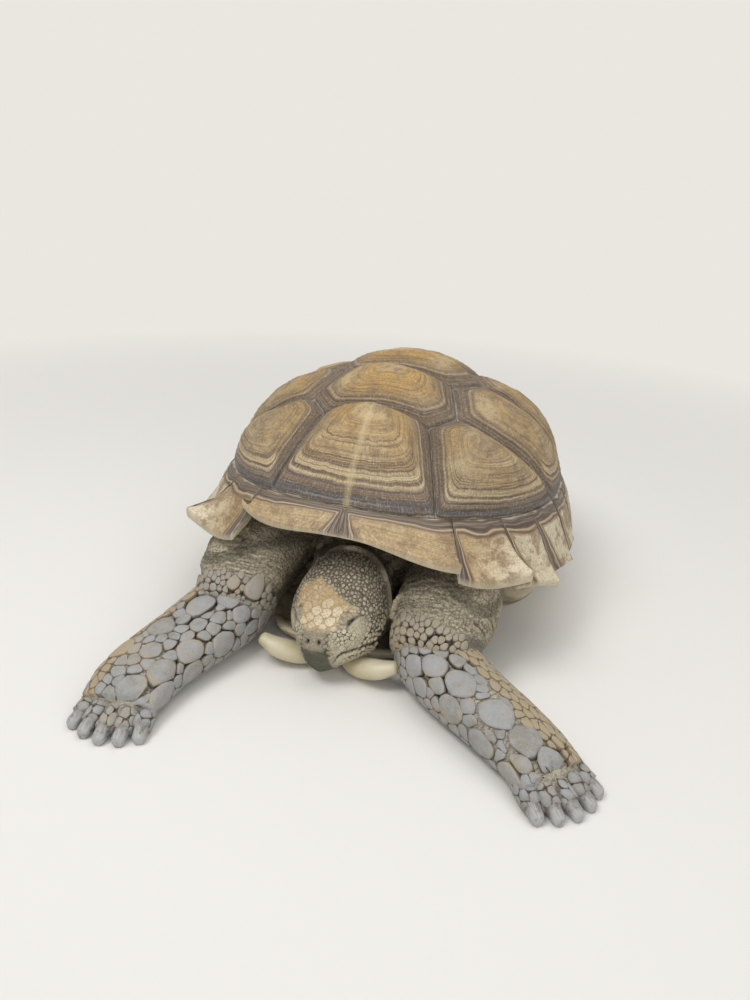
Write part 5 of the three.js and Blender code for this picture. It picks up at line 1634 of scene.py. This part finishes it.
def limb_scales(stations, power, shares, degrees, widths, seed, patch, large=(), rows=(400, 400),
                directions=13, count=3600, tan=0.0):
    """Scales of a limb: the large ones, then random ones of the given widths, narrow and ochre
    in rows between two angles. Returns a scale field."""
    surface = partial(tube_point, stations, power)
    places = scattered(count, seed, shares, degrees)
    sizes = np.random.default_rng(seed + 1).uniform(*widths, count)
    sizes = np.where(between(places[:, 1], rows) & (rows[0] < 360), widths[0] * 0.95, sizes)
    seeds = spread(places, sizes, surface, [(a, math.radians(b), c) for a, b, c in large])
    ochre = np.where(rows[0] < 360, between(seeds[1], rows) * 0.9, tan)
    drawn_out = (ochre > 0.5) & (seeds[2] < widths[1] + 1) & (rows[0] < 360)
    stretch = np.where(drawn_out, 1.9, 1.25)
    dome = 0.04 + 0.6 / seeds[2]
    return scale_field(surface, seeds, dome, patch, directions, groove=0.25, stretch=stretch,
                       seed=seed, ochre=ochre, root=5.5, lean=0.45)


def past_end(stations):
    """Path round the blunt end of a limb: its last two stations and two on the end's oval."""
    ahead = path_frame(stations, np.array([1.0]))[2][0]
    last = np.array(stations[-1], float)
    path = [stations[-2], stations[-1]]
    for angle in (0.65, 1.15):
        centre = last[:3] + ahead * (0.5 * last[4] * math.sin(angle))
        path.append((*centre, *(last[3:] * math.cos(angle))))
    return tuple(path)


def foot_scales(stations, claws, size, seed, patch):
    """Scales of a foot's toes: a few on each, smallest at the claw."""
    fields = []
    left, bottom, width, height = patch
    for number, place in enumerate(foot_fan(stations, claws)):
        toe = toe_stations(place, size, size[2])
        part = (left + width * number / len(claws), bottom, width / len(claws), height)
        fields.append(limb_scales(toe, ROUND, (0.1, 0.97), (-20, 200), TOE_WIDTHS, seed + number,
                                  part, directions=10, count=600))
    return fields


def head_scales():
    """Scales of the head: tan polygons of 6 to 10 mm on the crown, the largest placed one by
    one, small ones on the nape and the cheeks, none on the lids, the mouth's line, the nostrils
    and the beak."""
    crown_width = bpy.context.scene.tortoise_sizes.crown_scale
    places = scattered(22000, 31, (0.1, 0.97), (0, 360))
    points = head_point(places[:, 0], places[:, 1])
    forward, left, up = to_head(points)
    side = np.abs(left)
    tints = head_tints(points)
    along_eye, over_eye = eye_axes(forward, up)
    lids = (np.hypot(along_eye / 12.5, over_eye / 7.5) < 1) & (side > 20)
    mouth = (np.abs(up - mouth_height(forward)) < 3.0) & (forward > 4)
    beak = head_relief(points)[1]["beak"] > 0.25
    nose = (forward > 55) & (side < 13)
    neck = (forward < rim_line(left, up) + 3.5) | ((up < -26) & (forward < 10)) | (points[:, 2] < 9)
    keep = ~(lids | mouth | beak | nose | neck)
    back = tints["crown"] * eased(26, 16, forward)
    sizes = mixed(4.4, crown_width, tints["crown"] - back)
    jitter = np.random.default_rng(7).uniform(0.72, 1.12, len(sizes)) ** (1 + 0.8 * tints["nape"])
    large = []
    for ahead, beside, width in CROWN_LARGE:
        nearest = np.argmin((forward - ahead) ** 2 + (left - beside) ** 2 + 9 * (up < 0) * side)
        large.append((*places[nearest], width))
    seeds = spread(places[keep], (sizes * jitter)[keep], head_point, large)
    seed_tints = head_tints(head_point(*seeds[:2]))
    groove = 0.2 + 0.7 * seed_tints["nape"] * np.random.default_rng(8).random(len(seeds[0]))
    face = eased(16, 32, to_head(head_point(*seeds[:2]))[0]) * (1 - seed_tints["crown"])
    dome = 0.12 - 0.05 * seed_tints["crown"] - 0.05 * face + 0.07 * seed_tints["nape"]
    shape = scale_field(head_point, seeds, dome, (0.0, 0.0, 0.5, 0.5), 10, groove=groove, seed=9)
    points, faces, fields, bake = shape
    fields.update({key: value for key, value in head_tints(points).items() if key != "cheek"})
    forward, left, _ = to_head(points)
    before_beak = 0.8 * eased(40, 56, forward) * eased(32, 15, np.abs(left))
    fields["snout"] = np.maximum(head_relief(points)[1]["snout"], before_beak)
    each = len(points) // len(seeds[2])
    fields["tint"] = 0.5 * fields["tint"] + 0.5 * np.repeat(eased(5, 9, seeds[2]), each)
    return points, faces, fields, bake


# ---------------------------------------------------------------- eyes


def eyeball(side):
    """Eye: a sphere with the low bulge of the cornea where it looks out, set so deep that the
    lids cover most of it."""
    ahead, across, rise = EYE_AT
    look_ahead, look_out, look_up = EYE_OUT
    outward = unit(HEAD_FORWARD * look_ahead + HEAD_LEFT * side * look_out + HEAD_UP * look_up)
    centre = in_head(ahead, side * across, rise) - outward * EYE_DEPTH
    polar, turn = np.meshgrid(np.linspace(0, np.pi, 34)[1:-1],
                              np.arange(40) * 2 * np.pi / 40, indexing="ij")
    across_way = unit(np.cross(outward, (0.0, 0.0, 1.0)))
    up_way = np.cross(across_way, outward)
    radius = EYE_RADIUS + 0.7 * bell(polar, 0, 0.55)
    ring = (np.cos(polar) * radius)[..., None] * outward + (np.sin(polar) * radius)[..., None] * (
        np.cos(turn)[..., None] * across_way + np.sin(turn)[..., None] * up_way)
    return closed_rings(centre + ring)


# ---------------------------------------------------------------- settings


# Colours as sRGB hex text, so that a ramp can take them, and what each one is for.
COLOURS = {
    "scute_face": ("bfa880", "Worn face of a shell plate"),
    "scute_pale": ("dbc699", "Pale rings of a shell plate"),
    "scute_fresh": ("d8bf92", "Pale oldest field of the middle plates"),
    # scute_golden: the keratin's golden tone, and also a painted highlight near the top of the dome.
    "scute_line": ("836a49", "Fine ring lines"),
    "scute_golden": ("d6a750", "Golden tint near the crown"),
    "scute_core": ("86755c", "Grainy oldest field of a plate"),
    "scute_brown": ("5f4a3a", "Brown growth rings"),
    "scute_side": ("7d6850", "Rings along the side seams"),
    "scute_dark": ("50463f", "Dark growth rings"),
    "scute_mauve": ("8d7a6c", "Brown-pink ring between dark ones"),
    "scute_night": ("55565b", "Newest dark band"),
    "scute_new": ("bfb5a6", "Thin pale line in the seams"),
    "rim_honey": ("a6895d", "Top of the marginals"),
    "rim_pale": ("bfa981", "Pale parts of the marginals"),
    "rim_line": ("876c4d", "Growth lines of the marginals"),
    "rim_ivory": ("d3c8ad", "Rubbed lips"),
    # rim_bone: the greyish tone of the flank marginals, painted paler as light against their shade.
    "rim_bone": ("d9ceb3", "Greyish marginals of the flanks"),
    "rim_under": ("a89a80", "Underside of the rim"),
    "horn_cream": ("cbc1a5", "Gular horns"),
    "horn_olive": ("b8ac82", "Olive cloud on the horns"),
    "skin": ("b8ad93", "Granular skin"),
    # skin_pale is the pale skin and the paler tops of the folds and creases, across from the painted
    # shade in their valleys.
    "skin_pale": ("d0c4a8", "Dusty tops of folds"),
    # skin_dark is dark skin, and also the painted shade in the valleys, creases and gaps of the skin.
    "skin_dark": ("5c5145", "Valleys and gaps of the skin"),
    # Near-black painted shade for slits, nostrils, the mouth's line and creases.
    "crevice": ("1d1813", "Slits and nostrils"),
    "crown": ("bfa273", "Tan patch on the head"),
    # crown_pale also paints the hood's ridges, paler than their own tone as painted light.
    "crown_pale": ("dccaab", "Palest head scales"),
    # Cheek: the jaw's pale tone, painted paler still as light against the shade of the shell's front.
    "nape": ("766c5a", "Dark scales behind the crown"),
    "cheek": ("cbc3a8", "Cheeks and jaw"),
    "beak": ("3d3f33", "Horny beak"),
    "dust": ("a19e96", "Dusty skin of the lower legs"),
    "scale_grey": ("949493", "Leg scales"),
    "scale_blue": ("9c9fa4", "Scuffed middles of leg scales"),
    "scale_brown": ("86837b", "Dirt on leg scales"),
    "scale_ochre": ("ab9469", "Margins of leg scales"),
    "claw": ("9f9d98", "Claws"),
    "claw_dark": ("7b7771", "Claw streaks"),
    "claw_pale": ("b9b8b5", "Worn claw tips"),
    "eye_dark": ("0d0907", "Pupil and shade"),
    "eye_brown": ("2e1c10", "Iris"),
    "paper_far": ("eae7e1", "Backdrop above the floor as it is seen"),
    "paper": ("e4e1dc", "Floor and backdrop"),
}


class TortoiseColours(bpy.types.PropertyGroup):
    """Colours of the finishes, as sRGB hex values."""

    __annotations__ = {
        key: bpy.props.StringProperty(name=key.replace("_", " ").capitalize(), default=default,
                                      description=description, maxlen=6)
        for key, (default, description) in COLOURS.items()}


class TortoiseSizes(bpy.types.PropertyGroup):
    """Sizes that shape the scales and the stage."""

    small_scale: bpy.props.FloatProperty(
        name="Small leg scale", description="Width of the smallest leg scales, in millimetres",
        default=8.5, min=4.0, max=15.0)
    crown_scale: bpy.props.FloatProperty(
        name="Crown scale", description="Width of the largest head scales, in millimetres",
        default=10.5, min=5.0, max=16.0)
    lamp_power: bpy.props.FloatProperty(
        name="Lamp power", description="Power of the main lamp", default=30.0, min=0.0, unit="POWER")


# ---------------------------------------------------------------- operators


class TortoisePiece:
    """What the piece operators share."""

    bl_options = {"REGISTER", "UNDO"}


class TORTOISE_OT_plates(TortoisePiece, bpy.types.Operator):
    """Five vertebrals and eight costals, each with its growth rings"""

    bl_idname = "tortoise.plates"
    bl_label = "Shell plates"

    def execute(self, context):
        for number in range(5):
            shape = field_plate(vertebral_outline(number), (0.0, VERTEBRAL_AREOLAE[number]),
                                (0.0, VERTEBRAL_CROWNS[number]), VERTEBRAL_CROWN, 20 + number,
                                False, 0.15)
            plate = f"vertebral_{number + 1}"
            add_piece(f"scute_{plate}", shape, grown_keratin_scute, [plate])
        for number in range(4):
            for mirror, side in ((False, "left"), (True, "right")):
                shape = field_plate(costal_outline(number), COSTAL_AREOLAE[number],
                                    COSTAL_CROWNS[number], COSTAL_CROWN, 40 + 2 * number + mirror,
                                    mirror, 1.0)
                plate = f"costal_{side}_{number + 1}"
                add_piece(f"scute_{plate}", shape, grown_keratin_scute, [plate])
        return {"FINISHED"}


class TORTOISE_OT_rim(TortoisePiece, bpy.types.Operator):
    """Twenty-two marginals and the supracaudal, flared and rubbed at the lip"""

    bl_idname = "tortoise.rim"
    bl_label = "Rim plates"

    def execute(self, context):
        for number in range(11):
            for right, side in ((False, "left"), (True, "right")):
                plate = f"marginal_{side}_{number + 1}"
                add_piece(f"scute_{plate}", marginal_plate(number, right), rubbed_rim_keratin,
                          [plate])
        add_piece("scute_supracaudal", marginal_plate(11, False), rubbed_rim_keratin,
                  ["supracaudal"])
        return {"FINISHED"}


class TORTOISE_OT_plastron(TortoisePiece, bpy.types.Operator):
    """Plastron with its seams, and the pair of gular horns"""

    bl_idname = "tortoise.plastron"
    bl_label = "Plastron and gular horns"

    def execute(self, context):
        add_piece("belly_shield", plastron_shape(), polished_belly_keratin,
                  ["plastron"])
        points, faces = gular_horn()
        for side, way in (("left", 1), ("right", -1)):
            add_piece(f"horn_{side}", (points * (way, 1, 1), faces), worn_horn_keratin,
                      [f"gular_horn_{side}"])
        return {"FINISHED"}


class TORTOISE_OT_skin(TortoisePiece, bpy.types.Operator):
    """One closed skin for the head, neck, legs, tail and the body inside the shell"""

    bl_idname = "tortoise.skin"
    bl_label = "Skin"

    def execute(self, context):
        finish_piece(skin_piece(), made(dry_granular_skin), FLESH_NODES)
        return {"FINISHED"}


class TORTOISE_OT_leg_scales(TortoisePiece, bpy.types.Operator):
    """Armour scales of the forearms, toes, shins and thighs"""

    bl_idname = "tortoise.leg_scales"
    bl_label = "Leg scales"

    def execute(self, context):
        narrowest = context.scene.tortoise_sizes.small_scale
        for side, arm, upper, large, elbow, rows, corner in (
                ("left", FOREARM_LEFT, UPPER_ARM_LEFT, LEFT_LARGE, LEFT_ELBOW, (92, 150), 0.0),
                ("right", FOREARM_RIGHT, UPPER_ARM_RIGHT, RIGHT_LARGE, RIGHT_ELBOW, (15, 62), 0.5)):
            fields = [limb_scales(arm, FOREARM_POWER, (0.0, 1.0), (0, 360),
                                  (narrowest, FOREARM_WIDEST), 50, (corner, 0.5, 0.3, 0.5),
                                  large, rows, 14),
                      limb_scales(past_end(upper), LEG_POWER, ELBOW_SHARES, (0, 360),
                                  ELBOW_WIDTHS, 52, (corner + 0.3, 0.8, 0.2, 0.2), **elbow)]
            fields += foot_scales(arm, FORE_CLAWS, FORE_CLAW, 60, (corner + 0.3, 0.5, 0.2, 0.3))
            add_scales(f"armour_fore_{side}", joined_scales(fields), made(scuffed_limb_keratin))
        for side, shank, thigh, corner in (("left", SHANK, THIGH, 0.5),
                                           ("right", SHANK_RIGHT, THIGH_RIGHT, 0.75)):
            fields = [limb_scales(shank, SHANK_POWER, (0.02, 1.0), (0, 360), SHIN_WIDTHS, 80,
                                  (corner, 0.0, 0.1, 0.25)),
                      limb_scales(thigh, LEG_POWER, (0.5, 1.0), (0, 360), THIGH_WIDTHS, 81,
                                  (corner, 0.25, 0.1, 0.25))]
            fields += foot_scales(shank, HIND_CLAWS, HIND_CLAW, 84, (corner + 0.1, 0.0, 0.14, 0.2))
            add_scales(f"armour_hind_{side}", joined_scales(fields), made(scuffed_limb_keratin))
        return {"FINISHED"}


class TORTOISE_OT_head_scales(TortoisePiece, bpy.types.Operator):
    """Scales of the head, largest on the crown"""

    bl_idname = "tortoise.head_scales"
    bl_label = "Head scales"

    def execute(self, context):
        add_scales("head_shields", head_scales(), made(waxy_head_keratin))
        return {"FINISHED"}


class TORTOISE_OT_eyes(TortoisePiece, bpy.types.Operator):
    """Eyes, deep between the lids"""

    bl_idname = "tortoise.eyes"
    bl_label = "Eyes"

    def execute(self, context):
        for side, way in (("left", 1), ("right", -1)):
            add_piece(f"eyeball_{side}", eyeball(way), wet_cornea, [f"eye_{side}"])
        return {"FINISHED"}


class TORTOISE_OT_claws(TortoisePiece, bpy.types.Operator):
    """Five claws on each hand, four on each foot, and the spurs of the thighs"""

    bl_idname = "tortoise.claws"
    bl_label = "Claws and spurs"

    def execute(self, context):
        left, right, hind = (
            joined([claw_shape(place, size) for place in foot_fan(stations, claws)])
            for stations, claws, size in ((FOREARM_LEFT, FORE_CLAWS, FORE_CLAW),
                                          (FOREARM_RIGHT, FORE_CLAWS, FORE_CLAW),
                                          (SHANK, HIND_CLAWS, HIND_CLAW)))
        spurs = joined([spur_shape(*spur) for spur in SPURS])
        for name, shape in (("claws_fore_left", left), ("claws_fore_right", right),
                            ("claws_hind_left", hind), ("claws_hind_right", flipped(hind)),
                            ("spurs_left", spurs), ("spurs_right", flipped(spurs))):
            add_piece(name, shape, dug_claw_horn)
        return {"FINISHED"}


def sweep_surface(rows=90, columns=12, width=9.0, near=-3.5, far=2.6, bend=1.4, height=9.0):
    """Backdrop: the floor runs back, turns up on a quarter circle and goes on upright."""
    floor = np.linspace(near, far, rows // 3)
    arc = np.linspace(0, math.pi / 2, rows // 3)
    wall = np.linspace(0, height - bend, rows // 3)
    y = np.concatenate([floor, far + bend * np.sin(arc), np.full(rows // 3, far + bend)])
    z = np.concatenate([0 * floor, bend * (1 - np.cos(arc)), bend + wall])
    x = np.linspace(-width / 2, width / 2, columns)
    points = np.stack([np.broadcast_to(x, (len(y), columns)),
                       np.broadcast_to(y[:, None], (len(y), columns)),
                       np.broadcast_to(z[:, None], (len(y), columns))], -1)
    return points.reshape(-1, 3) / MM, [grid_faces(len(y), columns, False)]


def add_lamp(name, place, target, size, power, colour="ffffff"):
    """Square soft lamp that faces a point."""
    lamp = bpy.data.lights.new(name, "AREA")
    lamp.shape, lamp.size, lamp.energy = "SQUARE", size, power
    lamp.color = linear(colour)[:3]
    holder = bpy.data.objects.new(name, lamp)
    holder.location = place
    holder.rotation_euler = (Vector(target) - Vector(place)).to_track_quat("-Z", "Y").to_euler()
    bpy.context.collection.objects.link(holder)


class TORTOISE_OT_stage(TortoisePiece, bpy.types.Operator):
    """Pale floor and backdrop, soft lamps, world light and the camera"""

    bl_idname = "tortoise.stage"
    bl_label = "Stage"

    def execute(self, context):
        scene = context.scene
        backdrop = add_mesh("backdrop", *sweep_surface(), outward=False)
        backdrop.data.materials.append(made(matt_backdrop_paper))
        power = scene.tortoise_sizes.lamp_power
        add_lamp("key_lamp", (-0.9, -1.1, 2.3), (0, -0.1, 0.15), 1.1, power)
        add_lamp("top_lamp", (0.5, 0.5, 2.7), (0, 0, 0.2), 2.2, power * 0.8)
        add_lamp("fill_lamp", (1.6, -1.9, 1.3), (0, -0.1, 0.1), 2.0, power * 0.55)
        scene.world = bpy.data.worlds.new("studio_air")
        fill_tree(scene.world, "ShaderNodeOutputWorld", studio_air)
        camera = bpy.data.cameras.new("camera")
        camera.lens = CAMERA_LENS
        camera.dof.use_dof = False
        holder = bpy.data.objects.new("camera", camera)
        turn = (Matrix.Rotation(math.radians(CAMERA_TURN), 4, "Z")
                @ Matrix.Rotation(math.radians(90 - CAMERA_DOWN), 4, "X")
                @ Matrix.Rotation(math.radians(CAMERA_ROLL), 4, "Z"))
        holder.matrix_world = Matrix.Translation(CAMERA_PLACE) @ turn
        bpy.context.collection.objects.link(holder)
        scene.camera = holder
        scene.view_settings.view_transform = "Standard"
        return {"FINISHED"}


STEPS = (TORTOISE_OT_stage, TORTOISE_OT_plates, TORTOISE_OT_rim, TORTOISE_OT_plastron,
         TORTOISE_OT_skin, TORTOISE_OT_leg_scales, TORTOISE_OT_head_scales, TORTOISE_OT_eyes,
         TORTOISE_OT_claws)


class TORTOISE_PT_panel(bpy.types.Panel):
    """Lists the settings and the building steps"""

    bl_label = "Sulcata tortoise"
    bl_space_type = "VIEW_3D"
    bl_region_type = "UI"
    bl_category = "Tortoise"

    def draw(self, context):
        for group in (context.scene.tortoise_sizes, context.scene.tortoise_colours):
            box = self.layout.box()
            for setting in group.bl_rna.properties.keys():
                if setting not in ("rna_type", "name"):
                    box.prop(group, setting)
        for step in STEPS:
            self.layout.operator(step.bl_idname)


CLASSES = (TortoiseColours, TortoiseSizes, *STEPS, TORTOISE_PT_panel)


def register():
    for one in CLASSES:
        bpy.utils.register_class(one)
    bpy.types.Scene.tortoise_colours = bpy.props.PointerProperty(type=TortoiseColours)
    bpy.types.Scene.tortoise_sizes = bpy.props.PointerProperty(type=TortoiseSizes)


def unregister():
    del bpy.types.Scene.tortoise_sizes
    del bpy.types.Scene.tortoise_colours
    for one in reversed(CLASSES):
        bpy.utils.unregister_class(one)


def main():
    register()
    for step in STEPS:
        getattr(bpy.ops.tortoise, step.bl_idname.split(".")[1])()


if __name__ == "__main__":
    main()
